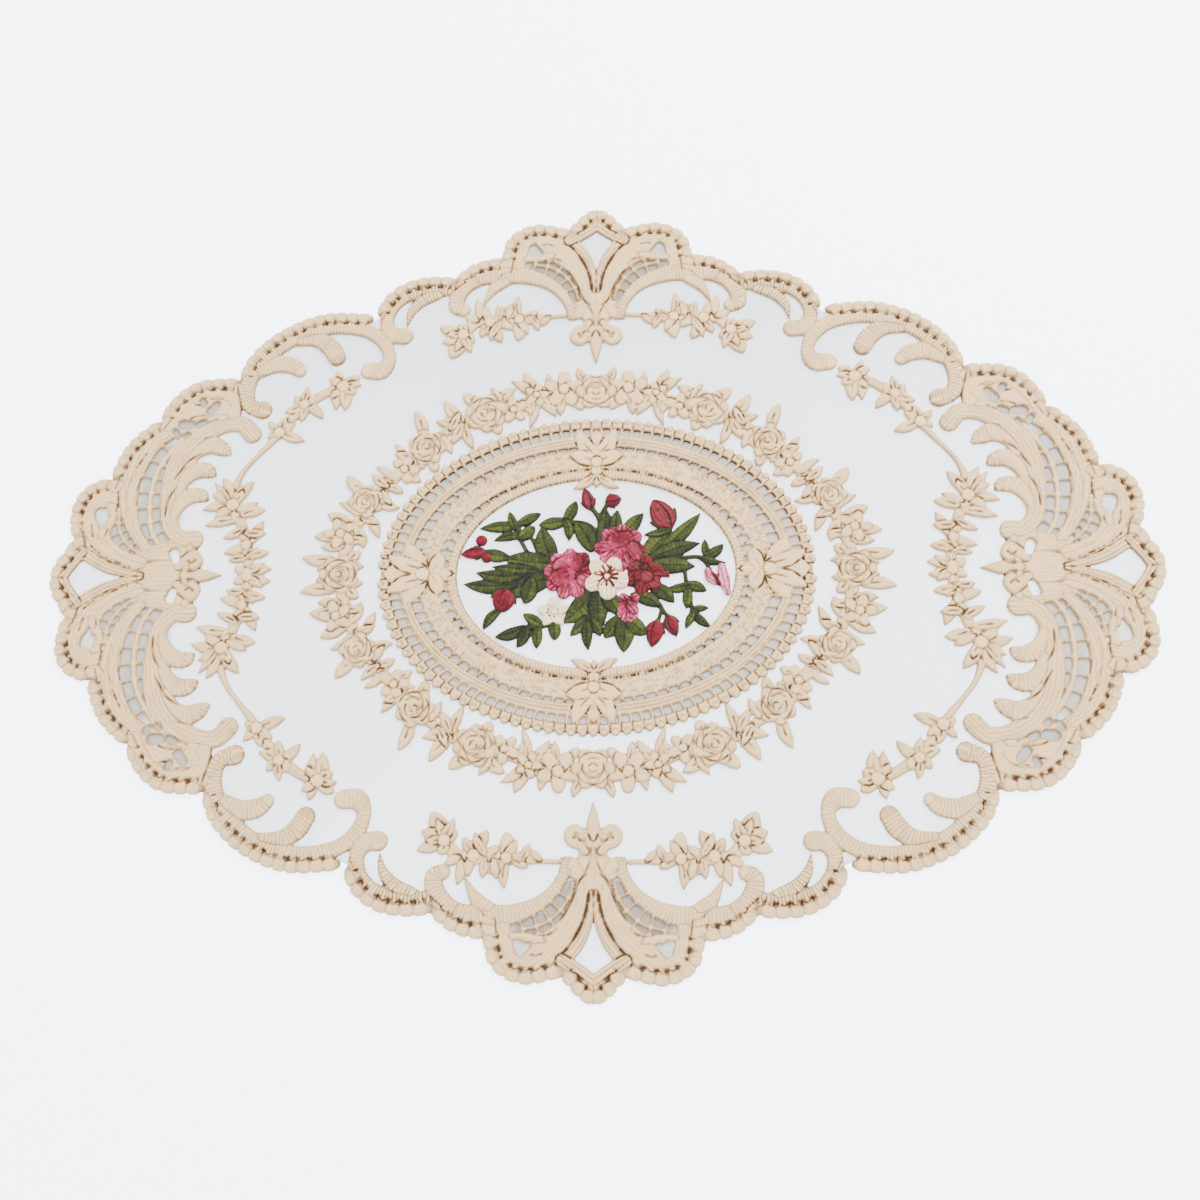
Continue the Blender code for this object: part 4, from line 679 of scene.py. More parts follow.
# creases of one quarter, darkened with painted shade: their line, the length of a dash or 0, and their
# strength
creases = [
    ([(2.6, 119.4), (5.0, 121.6), (7.0, 126.6), (9.4, 132), (12.4, 136.4)], 0, 0.9),
    ([(4.4, 120.6), (2.4, 117.4), (1.2, 114.6), (0.9, 109.6)], 0, 0.6),
    ([(9.4, 122), (8.6, 119.4), (8.9, 117.6)], 0, 0.4),
    ([(5.0, 106.8), (6.2, 105.2), (7.6, 106.0)], 0, 1.0),
    ([(19.4, 148.6), (21.4, 149.2), (23, 148.9)], 0, 0.8),
    ([(13.6, 139.2), (16.2, 141.4), (19.6, 141.9), (22.6, 141.4)], 3.2, 0.8),
    ([(37, 136), (40.4, 135), (43, 132.4)], 2.0, 0.6),
    ([(53.0, 135.4), (50.9, 130.9)], 0, 0.5),
    ([(75.6, 126.2), (79.8, 122.6), (83.2, 119.2)], 2.2, 1.0),
    ([(150.6, 71.5), (150.8, 75), (152.2, 80), (153.2, 84.6)], 0, 0.8),
    ([(159.2, 79), (161.6, 78.6), (164, 79)], 0, 0.6),
    ([(168.8, 76.2), (170.8, 76.4)], 0, 1.0),
    ([(166.4, 71.4), (169.6, 70.9), (172, 70)], 0, 0.8),
    ([(160.6, 69.6), (163.4, 68.4), (168, 65.8)], 3.0, 0.7),
    ([(165, 60.6), (161.6, 61.6)], 0, 0.4),
    ([(166, 53.6), (170.6, 50.6), (174, 45.6), (176, 42.4)], 0, 0.9),
    ([(174.6, 38.6), (177.4, 34.4), (178.4, 29.4), (178.4, 26)], 0, 0.8),
    ([(189.2, 54), (191.2, 50.6), (193.2, 47.2)], 4.4, 1.0),
    ([(193, 46), (195.2, 41), (195.8, 35), (195, 29)], 0, 0.35),
    ([(190.4, 43), (191.8, 38), (191.6, 31)], 0, 0.3),
    ([(187.0, 2.8), (192, 4.2), (198, 6.6), (204, 9.8), (208.6, 13.4)], 5.0, 1.0),
    ([(199.6, 37.4), (199.2, 33), (199.8, 29), (201.8, 26.6)], 3.0, 0.9),
    ([(209.4, 22.6), (209.0, 20), (208.2, 17.6)], 0, 0.8),
    ([(202.6, 20.6), (203.0, 18)], 0, 0.8),
    ([(163.8, 6.6), (165.4, 5.2), (166.9, 6.2)], 0, 1.0),
    ([(161.4, 3.6), (163.8, 1.8), (166.6, 1.6)], 0, 0.8),
    ([(163.4, 11.4), (165.4, 11.9)], 0, 0.6),
]


def makeQuarters(name, quarterPart, node):
    # the same part in all four quarters; {} in the node's name stands for the quarter
    for quarter, signs in quarters.items():
        side = quarter.replace("Far", "_far").replace("Near", "_near")
        makePiece(name + "_" + quarter, [turned(quarterPart, signs)], *beige, [node.format(side)])


def ladderStrokes(field, cord, width, reach, pitch):
    # the cord, and straight bars across it at even lengths
    line = smoothLine([(*p, width) for p in cord])
    lengths = lengthsOf(line)
    places = np.linspace(0, lengths[-1], round(lengths[-1] / pitch) + 1)[1:]
    middles, across = pick(line, lengths, places)[:, :2], leftOf(line)
    side = np.column_stack([np.interp(places, lengths, across[:, k]) for k in (0, 1)])
    for m, s in zip(middles, side * reach):
        addStroke(field, [(*(m - s), bar["foot"]), (*m, bar["waist"]), (*(m + s), bar["foot"])], rib=0,
                  rise=bar["rise"], tint=bar["tint"], under=1.0)
    addStroke(field, [(*p, width) for p in cord], rib=0.1, rise=-0.05, tint=bar["tint"])


borderField = newField(border["box"], border["cell"], border["blend"])
for ladder in ladders.values():
    ladderStrokes(borderField, *ladder)
for path, look in scrolls.values():
    addStroke(borderField, path, **look)
for path in openings:
    addHole(borderField, path)
addMark(borderField, slit["path"], slit["width"], slit["dash"], slit["share"], slit["depth"])
for path, dash, strength in creases:
    addMark(borderField, path, dash=dash, strength=strength, seed=len(path))
for rows in scallops.values():
    line = smoothLine([(*p, 0) for p in rows])
    outward = 1 if (leftOf(line) * line[:, :2]).sum() > 0 else -1
    addBeads(borderField, rows, border["bead"], border["halfBead"], outward)
borderQuarter = raised(borderField, overlap=border["overlap"])
print("border quarter:", len(borderQuarter["faces"]), "faces")
makeQuarters("laceBorder", borderQuarter, "lace_border")

# sprigs inside the border
sprig = {"crestBox": (11, 92, 71, 128), "endBox": (98, 0, 166, 94), "cell": 0.42, "blend": 0.3,
         "veined": 0.5, "knotRing": 0.7}


def leafRows(x, y, tipX, tipY, width, bend=0.0):
    # a stroke from root to tip, widest a little before the middle
    root, tip = np.array([x, y]), np.array([tipX, tipY])
    along = tip - root
    across = np.array([-along[1], along[0]])
    u = np.array([0, 0.16, 0.34, 0.52, 0.72, 0.88, 1.0])
    full = np.array([0.42, 0.74, 0.96, 1.0, 0.74, 0.38, 0.04]) * width * 0.9
    rows = root + along * u[:, None] + across * (bend * np.sin(math.pi * u))[:, None]
    return np.column_stack([rows, full])


def leafStroke(field, row, vein, rise=None):
    # a leaf, with a dark stitched vein over the part nearest its root
    bend = rng.uniform(-0.09, 0.09)
    rows = leafRows(*row, bend=bend)
    rise = rng.uniform(-0.12, 0.12) if rise is None else rise
    addStroke(field, rows, rise=rise, tint=0.79, rib=0.22, dome=0.2, over=1.1, along=True)
    if rng.uniform() < vein:
        start, stop = rng.uniform(0.06, 0.2), rng.uniform(0.42, 0.62)
        line = smoothLine(rows)
        piece = pick(line, lengthsOf(line), np.linspace(start, stop, 4) * lengthsOf(line)[-1])
        addMark(field, piece, width=0.28, strength=rng.uniform(0.5, 0.9), seed=row[0])


def budStroke(field, x, y, radius, ring):
    # a small round button with a ring of painted shade at its foot
    addStroke(field, [(x - 0.1, y, 2 * radius), (x + 0.1, y, 2 * radius)], rise=0.12, dome=0.2, rib=0.1,
              over=0.3, tint=0.83)
    turn = np.radians(np.linspace(20, 330, 9) + rng.uniform(0, 360))
    addMark(field, np.column_stack([x + radius * np.cos(turn), y + radius * np.sin(turn)]), width=0.3,
            strength=ring, dash=radius * 2.1, share=0.72, seed=x)


# stems: x, y and full width; leaves: the root, the tip and the full width; knots: x, y and radius
crestSprigStem = [(13.4, 114.9, 1.8), (20, 114.6, 2.2), (26, 113.9, 4.2), (32, 113.4, 5),
                  (43, 113.4, 5), (51, 113, 5), (57, 107, 5)]
crestSprigLeaves = [
    (33, 113, 33.5, 103.6, 6.5), (33, 114, 33.6, 125, 4.6), (31, 114, 25, 117.4, 4.4),
    (34, 115, 40, 119.2, 5), (41, 114, 42, 121, 4), (46, 111, 40.4, 103, 6),
    (42, 112, 35.6, 108.6, 4), (46, 111, 49.4, 105.6, 4.4), (50.5, 114, 51.6, 123.6, 4.6),
    (57, 107, 62, 96, 8.4), (57, 106, 67.4, 110.6, 6.4), (57, 107, 52, 103.6, 5),
    (57, 106, 66, 103.4, 6), (56, 108, 59, 111.6, 4.6), (20, 114.6, 23.6, 110.4, 3.2),
    (27, 114, 24.4, 108.2, 3.8), (34, 113, 29.2, 106.6, 4.2), (38, 114, 36.8, 121.4, 4),
    (41, 112, 45.4, 103.6, 4.2), (47, 113, 47.6, 120.6, 4), (51, 113, 56.6, 116, 4.2),
    (56, 107, 60, 98.6, 4.4), (57, 107, 53.4, 98.4, 4.6), (58, 107, 64, 107.2, 3.8),
]
crestSprigKnots = [(33, 113.6, 2.2), (45.6, 112.6, 2.4), (57, 106.8, 2.4)]
endSprigStem = [(107, 84, 4), (114, 81.6, 4), (123, 75.6, 4.4), (129, 69, 4), (133, 63.6, 4),
                (136.8, 58.4, 3), (142, 52.4, 2), (147.4, 45.4, 2.2), (150.4, 37, 3.6),
                (150, 29.6, 4.4), (146, 22, 4.2), (143.4, 13, 4.2), (142, 6, 4.2), (141.6, 0, 4)]
endSprigLeaves = [
    (107, 84, 106.4, 72.8, 6), (112, 81, 110.2, 73, 4), (107, 83, 102, 80.8, 4.6),
    (107, 85, 101, 88.4, 5), (109, 84, 110.6, 91.4, 4.4), (108, 84, 114, 87.4, 4.6),
    (123, 76, 115.6, 69.2, 5), (123, 76, 119.4, 79.6, 5.4), (124, 76, 132, 72.6, 5),
    (124, 76, 128, 80, 4.4), (133, 63, 122.4, 59, 5.4), (133, 64, 131, 70.4, 4.4),
    (134, 63, 138.6, 68.2, 4), (150.4, 30, 163, 28.6, 5.4), (148, 24, 161.6, 21.6, 5),
    (151, 32, 155.8, 43, 4.8), (150, 32, 142.6, 41, 5.6), (152, 31, 159.6, 35.6, 4.6),
    (146, 26, 136.6, 28.2, 5.4), (143, 13, 137, 23.6, 5.4), (143.4, 13, 152.6, 9.6, 4.8),
    (143, 14, 147.4, 21.6, 5), (142, 7, 138.6, 12, 4), (141.6, 1, 132.2, 2.6, 4.8),
    (142, 1, 147.4, 3.6, 4.6), (107, 84, 100, 84.4, 3.8), (108, 84, 112.8, 78, 3.8),
    (123, 76, 124.8, 67.8, 4.2), (124, 76, 122.8, 84, 4), (133, 64, 138.4, 60.6, 4),
    (133, 63, 127, 67, 4.2), (150, 31, 146.4, 37.4, 4.2), (151, 30, 159, 41, 4),
    (150, 29, 157.6, 24.8, 4.4), (148, 28, 140, 31.6, 4.2), (144, 18, 135.6, 18.2, 4.6),
    (145, 20, 153.4, 16, 4.4), (142, 8, 133.8, 9.6, 4.6), (143, 7, 150.4, 6.2, 4),
    (142, 1, 135.4, 5.4, 4.2),
]
endSprigKnots = [(107.6, 83.8, 2.6), (123.6, 75.8, 2.2), (133.4, 63, 2.4), (150.4, 30.6, 2.6),
                 (143.2, 12.8, 2.2), (141.8, 0.8, 2.2)]


def sprigPart(box, stem, leaves, knots):
    # the stem, then the leaves over it, then the knots over those
    field = newField(box, sprig["cell"], sprig["blend"])
    addStroke(field, stem, rib=0.2, along=True, rise=-0.1)
    for row in leaves:
        leafStroke(field, row, sprig["veined"])
    for x, y, radius in knots:
        budStroke(field, x, y, radius, sprig["knotRing"])
    return raised(field, crown=1.0, rounding=1.0, overlap=1.0)


crestSprig = sprigPart(sprig["crestBox"], crestSprigStem, crestSprigLeaves, crestSprigKnots)
endSprig = sprigPart(sprig["endBox"], endSprigStem, endSprigLeaves, endSprigKnots)
makeQuarters("sprig", crestSprig, "sprig_{}")
for side, sign in (("right", 1), ("left", -1)):
    makePiece("endSprig_" + side, [turned(endSprig, (sign, s)) for s in (1, -1)], *beige,
              ["sprig_end_" + side])

# flower wreath
wreath = {"box": (0, 0, 126, 96), "cell": 0.39, "blend": 0.3, "veined": 0.85}
wreathVine = [(0, 79.5, 5), (13, 79.5, 4.5), (25, 77, 4), (36, 73, 4), (46, 70.5, 5), (56, 66.5, 4),
              (65, 60.5, 4), (71, 55, 5), (79, 46.5, 4), (86, 38.5, 4), (93, 31.5, 5), (98.5, 20, 5),
              (102, 10, 5), (103.5, 0, 5)]
# each rose and each daisy: x, y, radius, how many petals and their turn in degrees
wreathRoses = [(0, 79.5, 8.2, 6, 0), (46.4, 70.4, 8.4, 7, 5), (70.8, 55.2, 7.8, 7, 25),
               (95, 31.6, 7.2, 7, 0), (104, 0, 8, 7, 0)]
wreathDaisies = [(13.6, 80.4, 7.2, 5, 20), (34.6, 71.6, 5.2, 5, 10), (79.4, 45.6, 5.4, 5, 40),
                 (104.6, 17.6, 5.8, 5, 0), (25, 78, 4.6, 5, 30)]
wreathLeaves = [
    (10, 76, 5.6, 71.2, 4.4), (14, 76, 15.2, 68.6, 3.8), (25, 77, 28, 63.4, 4.2),
    (25, 77, 16.8, 68.2, 4.8), (25, 78, 30.4, 88.8, 6), (25, 78, 18.4, 80.2, 4.8),
    (26, 77, 36, 84.8, 4.8), (43, 66, 40.6, 61, 5.4), (50, 74, 56.2, 79.2, 6),
    (42, 75, 34.2, 81, 5.6), (56, 67, 64, 76.6, 6), (57, 66, 67.4, 67, 5),
    (55, 65, 51, 54.4, 4.6), (56, 65, 61.2, 56.2, 4.4), (72, 60, 76.4, 72, 6),
    (68, 50, 66.4, 44.4, 5.2), (79, 48, 84, 57, 4.6), (79, 45, 72.4, 40.2, 5),
    (86, 38, 79.6, 35.2, 4.4), (86, 38, 92.8, 44, 4.6), (96, 36, 103.2, 43.2, 6),
    (90, 31, 80.6, 28.8, 4.6), (93, 26, 88.4, 15.6, 4.8), (98, 20, 94.6, 11.4, 5.4),
    (100, 21, 110.4, 26.4, 6.4), (105, 17, 115.4, 16.4, 5.6), (107, 7, 119.8, 7.4, 6),
    (100, 6, 96, 9.8, 5), (5, 84, 7.8, 90.6, 4.2), (19, 79, 20.6, 88.2, 4.2), (31, 75, 27.2, 68.8, 3.8),
    (40, 73, 44.6, 82, 4.4), (50, 69, 45.6, 61.8, 4.2), (61, 63, 57, 71.4, 4.2), (64, 60, 60, 52.4, 4.2),
    (76, 50, 83.8, 52.6, 4.2), (75, 51, 71.2, 46, 4), (84, 41, 91.6, 47, 4), (88, 36, 84, 29.6, 3.8),
    (97, 26, 106, 31.4, 4.2), (96, 24, 88.6, 21.4, 4.2), (101, 14, 93.4, 14.8, 4.2),
    (103, 12, 112.4, 12, 4.6), (102, 4, 94, 3.4, 4.2), (105, 3, 113.6, 2.4, 4.2),
]
# arcs of grooves inside a rose, darkened with painted shade: share of its radius at the start and end, and
# their angles
roseArcs = [(0.80, 0.74, 20, 115), (0.80, 0.82, 150, 235), (0.74, 0.80, 262, 330), (0.52, 0.44, -25, 95),
            (0.50, 0.56, 140, 215), (0.46, 0.50, 240, 300), (0.20, 0.10, 30, 190), (0.24, 0.22, 250, 330)]


def petalStrokes(field, x, y, radius, petals, turn, rows, **look):
    # petals lapping round a point; each row is a share of the radius, a lean and a full width
    for k in range(petals):
        a = math.radians(turn + 360 * k / petals)
        addStroke(field, [(x + radius * share * math.cos(a + lean), y + radius * share * math.sin(a + lean),
                           width) for share, lean, width in rows], along=True, **look)


def roseStrokes(field, x, y, radius, petals, turn):
    # a round plate of petals, with arcs of grooves round its heart, darkened with painted shade
    petalStrokes(field, x, y, radius, petals, turn,
                 [(0.25, 0, radius * 1.0), (0.66, 0, radius * 0.72), (1, 0.1, 0.8)], rib=0.25, dome=0.12,
                 over=0.5, tint=0.79)
    for start, stop, low, high in roseArcs:
        angle = np.radians(np.linspace(low, high, 7) + turn * 4)
        reach = np.linspace(start, stop, 7) * radius
        addMark(field, np.column_stack([x + reach * np.cos(angle), y + reach * np.sin(angle)]), width=0.32,
                strength=rng.uniform(0.55, 1.0), seed=low)


def daisyStrokes(field, x, y, radius, petals, turn):
    # blunt petals round a button
    petalStrokes(field, x, y, radius, petals, turn,
                 [(0.25, 0, radius * 0.7), (0.78, 0, radius * 0.74), (1, 0, radius * 0.3)], rib=0.2,
                 dome=0.15, over=0.9, tint=0.8)
    budStroke(field, x, y, radius * 0.33, 1.0)


wreathField = newField(wreath["box"], wreath["cell"], wreath["blend"])
addStroke(wreathField, wreathVine, rib=0.2, along=True, rise=-0.1)
for row in wreathLeaves:
    leafStroke(wreathField, row, wreath["veined"])
for row in wreathDaisies:
    daisyStrokes(wreathField, *row)
for row in wreathRoses:
    roseStrokes(wreathField, *row)
wreathQuarter = raised(wreathField, crown=1.1, rounding=1.1, overlap=1.0)
print("wreath quarter:", len(wreathQuarter["faces"]), "faces")
makeQuarters("wreath", wreathQuarter, "flower_wreath")

# oval frame
# half axes in pairs: the two ends of the spoke marks, and for the shadows in the windows and for the
# picots the oval that spaces them evenly and the one they lie on
ovalFrame = {"box": (0, 0, 90, 69), "cell": 0.345, "blend": 0.35, "veined": 0.8, "leafRise": 0.22,
             "knotRing": 0.9, "picots": 27, "spokeEnds": ((87.6, 66.2), (84.6, 62.6)),
             "windowOvals": ((84, 62), (83.6, 62.0)), "picotOvals": ((87, 65.6), (86.4, 65.0))}
# half axes of each ring's middle line, its width at the end and at the side, and its stitching
rings = {
    "dense": ((68.2, 47.9), (6.8, 9.6), {"rib": 0.15, "grain": 0.07, "dome": 0.0, "rise": -0.08}),
    "rim": ((58.1, 41.6), (3.9, 3.6), {"rib": 0.8, "dome": 0.25, "rise": 0.1, "over": 0.3}),
    "shoulderRing": ((78.6, 57.6), (2.0, 3.0), {"rib": 0.2, "grain": 0.06}),
    "cord": ((77.6, 55.8), (3.2, 3.0), {"rib": 0.1, "cords": 2, "rise": 0.12, "over": 0.3}),
    "edge": ((85.5, 63.9), (3.2, 3.2), {"rib": 0.3}),
}
# bars between two rings: the half axes where they start and stop, how many, and their width
bars = {"eyelets": ((59.4, 42.4), (65.2, 46.6), 19, 1.3), "middle": ((71.4, 52.0), (76.6, 55.0), 22, 1.0),
        "outer": ((78.8, 58.0), (85.0, 62.8), 27, 1.1)}
# leaves that cross the frame, in the middle of its long side and at its end, and their two knots
frameCrosses = [(0, 47, 0, 61.5, 9), (0, 46, 0, 36.4, 7), (1, 41, 9.4, 36, 4.4), (-1, 41, -9.4, 36, 4.4),
                (0, 50, 8, 62, 7), (0, 50, -8, 62, 7), (0, 47, 11, 50.6, 7), (0, 47, -11, 50.6, 7)]
frameCrossesSide = [(70, 0, 57.6, 0, 8), (70, 0, 86, 0, 10), (69, 1, 77, 12.4, 8), (69, -1, 77, -12.4, 8),
                    (69, 2, 84.6, 8, 7), (69, -2, 84.6, -8, 7), (66, 1, 63.4, 8.6, 7),
                    (66, -1, 63.4, -8.6, 7)]
frameKnots = [(0, 47.5, 2.4), (70, 0, 2.8)]
# rounds of broken stitches: half axes, width, length of a dash, its share, strength and seed
frameStitches = [((62.2, 44.2), 0.6, 2.3, 0.62, 1.2, 1), ((61.6, 45.4), 0.34, 1.7, 0.4, 0.6, 4),
                 ((72.6, 53.6), 0.4, 4.2, 0.5, 0.8, 2), ((66, 46.8), 0.3, 2.9, 0.35, 0.5, 6),
                 ((56.3, 40.0), 0.35, 1.45, 0.4, 0.55, 3)]
# slashes in the dense band: how many, the band's inner half axes and its width, and the least and
# the most of each one's angle round the oval, share of the width, lean and size
slashes = {"count": 130, "inner": (64.6, 45.4), "width": (7, 8.4), "least": (0.1, 0.1, -0.5, 0.3),
           "most": (1.5, 0.9, 0.5, 1.1)}


def ovalPoints(axes, angle):
    # x = long half axis * cos(angle), y = short half axis * sin(angle)
    return np.column_stack([axes[0] * np.cos(angle), axes[1] * np.sin(angle)])


def evenAngles(axes, count):
    # angles that part a quarter of the oval into equal lengths, in the middle of each
    angle = np.linspace(0, math.pi / 2, 721)
    lengths = lengthsOf(ovalPoints(axes, angle))
    return np.interp((np.arange(count) + 0.5) * lengths[-1] / count, lengths, angle)


def ringRows(axes, widths):
    # a quarter of an oval and a little more; its width goes from the end's to the side's with sin^2
    angle = np.linspace(-0.06, math.pi / 2 + 0.06, 26)
    full = widths[0] + (widths[1] - widths[0]) * np.sin(angle) ** 2
    return np.column_stack([ovalPoints(axes, angle), full])


frameField = newField(ovalFrame["box"], ovalFrame["cell"], ovalFrame["blend"])
for near, far, count, width in bars.values():
    angle = evenAngles(((near[0] + far[0]) / 2, (near[1] + far[1]) / 2), count)
    for start, stop in zip(ovalPoints(near, angle), ovalPoints(far, angle)):
        addStroke(frameField, [(*start, width * 1.2), (*((start + stop) / 2), width), (*stop, width * 1.3)],
                  rib=0, rise=-0.15, tint=0.85, under=0.6)
for axes, widths, look in rings.values():
    addStroke(frameField, ringRows(axes, widths), **look)
# pillows round the edge, each with a short spoke mark, and a shadow at the top of each window
halfPitch = math.pi / (2 * ovalFrame["picots"]) * 0.5
for k, a in enumerate(evenAngles(rings["edge"][0], ovalFrame["picots"])):
    spoke = [ovalPoints(axes, np.array([a])) for axes in ovalFrame["spokeEnds"]]
    addMark(frameField, np.vstack(spoke), width=0.36, strength=0.85, seed=k)
spacing, axes = ovalFrame["windowOvals"]
for a in (evenAngles(spacing, ovalFrame["picots"]) + halfPitch)[:-1]:
    middle = ovalPoints(axes, np.array([a - 0.012, a, a + 0.012]))
    addMark(frameField, middle, width=0.6, strength=0.75, seed=a)
spacing, axes = ovalFrame["picotOvals"]
for a in evenAngles(spacing, ovalFrame["picots"]):
    out = ovalPoints(axes, np.array([a + halfPitch]))[0]
    addStroke(frameField, [(*(out * 0.994), 3.7), (*(out * 1.006), 3.4)], rib=0.2, dome=0.2, under=0.3)
# broken stitches on both sides of the dense band, and slashes all over it
for axes, *look in frameStitches:
    addMark(frameField, ringRows(axes, (0, 0)), *look)
stitchRng = np.random.default_rng(23)
for a, share, lean, size in stitchRng.uniform(slashes["least"], slashes["most"], (slashes["count"], 4)):
    axes = [inner + width * share for inner, width in zip(slashes["inner"], slashes["width"])]
    m = ovalPoints(axes, np.array([a]))[0]
    d = np.array([math.cos(a * 2 + lean), math.sin(a * 2 + lean)]) * size * 0.7
    addMark(frameField, [m - d, m + d], width=0.28, strength=0.32)
for row in frameCrosses + frameCrossesSide:
    leafStroke(frameField, row, ovalFrame["veined"], rise=ovalFrame["leafRise"])
for x, y, radius in frameKnots:
    budStroke(frameField, x, y, radius, ovalFrame["knotRing"])
frameQuarter = raised(frameField, crown=1.1, rounding=1.0, overlap=0.5)
print("frame quarter:", len(frameQuarter["faces"]), "faces")
makeQuarters("ovalFrame", frameQuarter, "oval_frame")

# bouquet
bouquet = {"leafBox": (-57, -36, 58, 38), "leafCell": 0.3, "budBox": (-58, -34, 38, 40), "petalCell": 0.26,
           "blend": 0.25, "petalBlend": 0.3, "stemTint": 0.5, "leafTints": (0.42, 0.72)}
bouquetLeaves = [
    (-32, 20.4, -47.4, 19.4, 5), (-32, 21, -22.6, 25.6, 4.6), (-33, 19, -35.6, 26.6, 3.6),
    (-30, 16, -41.6, 14, 4), (-31, 15, -25.2, 20, 5.2), (-17, 4, -22.2, 19.4, 8.6),
    (-19, 4, -36.4, 6.4, 9.4), (-12.6, 22, -23.4, 20.6, 5.6), (-12.6, 22, -8.2, 30.6, 5),
    (-12.4, 22, -11, 13.6, 4), (-2, 10, -8.6, 21.4, 7.6), (1.6, 12, 4, 27, 6),
    (8, 14, 8.6, 26.4, 5.6), (11, 14, 19.2, 24.6, 6), (19, 4, 30, 18.4, 9),
    (27, 9, 42.4, 24.2, 6), (30, 17, 19.4, 15.4, 3.6), (22, 5, 42, 11.4, 6.6),
    (22, 2, 40, 1.6, 7), (44.6, 5.4, 44, 13, 3.4), (44.4, 5.6, 51.4, 10.8, 4.4),
    (42, 5, 52.4, 3, 3), (38, -6, 28.4, -7.6, 4), (36, -6, 44.4, -8.8, 4.6),
    (37, -7.6, 36.4, -16, 4.2), (38.6, -16.4, 45.2, -15.8, 3), (38.4, -17, 46, -23.8, 3.8),
    (39.4, -17, 36, -24.2, 3.4), (22, -6, 31.6, -13.4, 6), (15, -10, 26.4, -15.2, 5.8),
    (0, -7, -12.4, -21, 9), (1, -7, 1.8, -24.2, 8), (4, -8, 9.6, -17.6, 7),
    (-2.6, -19, -9.8, -26.4, 4.6), (-2.6, -20, 2.4, -26.6, 4.6), (-2.8, -20, -2.4, -32.4, 4.6),
    (12, -19, 4, -27.4, 7), (12, -18, 11.6, -33.4, 8), (13, -19, 20.4, -26.2, 6.6),
    (-28.4, -22.6, -39.8, -26.4, 5.2), (-27, -22.6, -31, -30.8, 4.6), (-22.6, -22, -23, -31.4, 4.4),
    (-17, -20, -16, -28, 5.2), (-21, -22, -28.8, -17, 4.6), (-19, -3, -37, -9.4, 10),
    (-26, -3, -28.4, -12.6, 6.6), (-33, -5, -53.2, -4.2, 6.4), (-30, -1, -48.4, 0.6, 6),
    (-24, 1, -42, 3, 4.4), (-38.2, -15, -44.6, -23.4, 4.2), (-36, 7, -46, 9.6, 5.6),
]
bouquetStems = [
    [(-31.6, 21, 1.7), (-31, 15, 1.7), (-26, 6, 1.7)], [(-26, 14.6, 1.5), (-22.6, 7, 1.5)],
    [(-13, 22, 1.7), (-4, 20.6, 1.9), (1.4, 16, 1.9)], [(-2.4, 28.4, 1.8), (1.4, 22, 2.2), (1.8, 14, 2.4)],
    [(5, 29.8, 1.8), (2.2, 25, 1.8), (1.8, 20, 2)], [(28.4, 19.4, 1.6), (28, 14, 1.8)],
    [(33, 5, 1.9), (42, 5.4, 1.7), (46, 0, 1.5)], [(35.4, 3, 1.7), (36.8, -8, 1.7), (39, -17.4, 1.7)],
    [(23, -12.6, 1.6), (26.4, -15.4, 1.6), (24.8, -22, 1.5)], [(25.4, -14, 1.6), (29.4, -19.8, 1.5)],
    [(0.6, -16, 1.8), (-2.8, -22, 1.8)], [(13, -18, 2.4), (12.4, -22, 3)],
    [(-15.8, -20.8, 1.6), (-22, -22.4, 1.7), (-30, -22.8, 1.6)], [(-37, -13.6, 1.7), (-39.6, -17, 1.7)],
    [(-44, 9.2, 1.7), (-34, 6.2, 1.7)],
]
# each bud: its foot, its tip and its full width; each round one: x, y and radius
buds = {"bud_top_left": (-2.4, 27.6, -5, 36, 5.2), "bud_top_right": (4.6, 30, 10, 31.4, 5.6),
        "bud_large": (29.6, 19.4, 23.0, 30.2, 9.8), "bud_left": (-36, -8.0, -38.2, -16, 8.8),
        "bud_far_left": (-45.6, 9.4, -54.6, 8.4, 5.2), "bud_drop": (24.6, -21.6, 22.6, -31.4, 6.8),
        "bud_small": (29.2, -19.4, 32.4, -27.2, 5.6)}
roundBuds = [(-46.6, 14.2, 2.3), (-44.2, 6.8, 2.1)]


def leafShade(base):
    # darker at its root and, as painted shade, at its edges, with the slanting stitches of each half a
    # little apart in tone
    def shade(x, y, t, run):
        tone = base + 0.1 * np.sign(t) * (np.abs(t) > 0.08) - 0.22 * np.abs(t) ** 4
        return tone - 0.16 * (1 - run) ** 3 + 0.16 * patchy(x, y, 1.5, 21)
    return shade


bouquetField = newField(bouquet["leafBox"], bouquet["leafCell"], bouquet["blend"])
for stem in bouquetStems:
    addStroke(bouquetField, stem, rib=0.2, along=True, tint=bouquet["stemTint"], dome=0.2)
for row in bouquetLeaves:
    base = rng.uniform(*bouquet["leafTints"])
    rows = leafRows(*row[:4], row[4] * 1.1, bend=rng.uniform(-0.08, 0.08))
    addStroke(bouquetField, rows, rise=rng.uniform(-0.1, 0.1), rib=0.6, dome=0.2, over=1.0,
              shade=leafShade(base))
    addMark(bouquetField, rows[:6], width=0.26, strength=0.6, seed=row[0])
for x, y, tipX, tipY, width in buds.values():
    # a calyx: two short leaves that hold the foot of each bud
    away, across = np.array([tipX - x, tipY - y]), np.array([y - tipY, tipX - x])
    across = across / np.hypot(*across) * width
    for side in (-1, 1):
        foot, tip = np.array([x, y]) - 0.1 * away, np.array([x, y]) + 0.42 * away + side * 0.62 * across
        addStroke(bouquetField, leafRows(*foot, *tip, 0.4 * width), rib=0.4, dome=0.2, over=0.6,
                  tint=bouquet["stemTint"])
bouquetGreen = raised(bouquetField, crown=0.8, rounding=0.8, overlap=0.0, rim=0.3, markDepth=0.35)
sprays = [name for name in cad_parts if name.startswith("leaf_spray")]
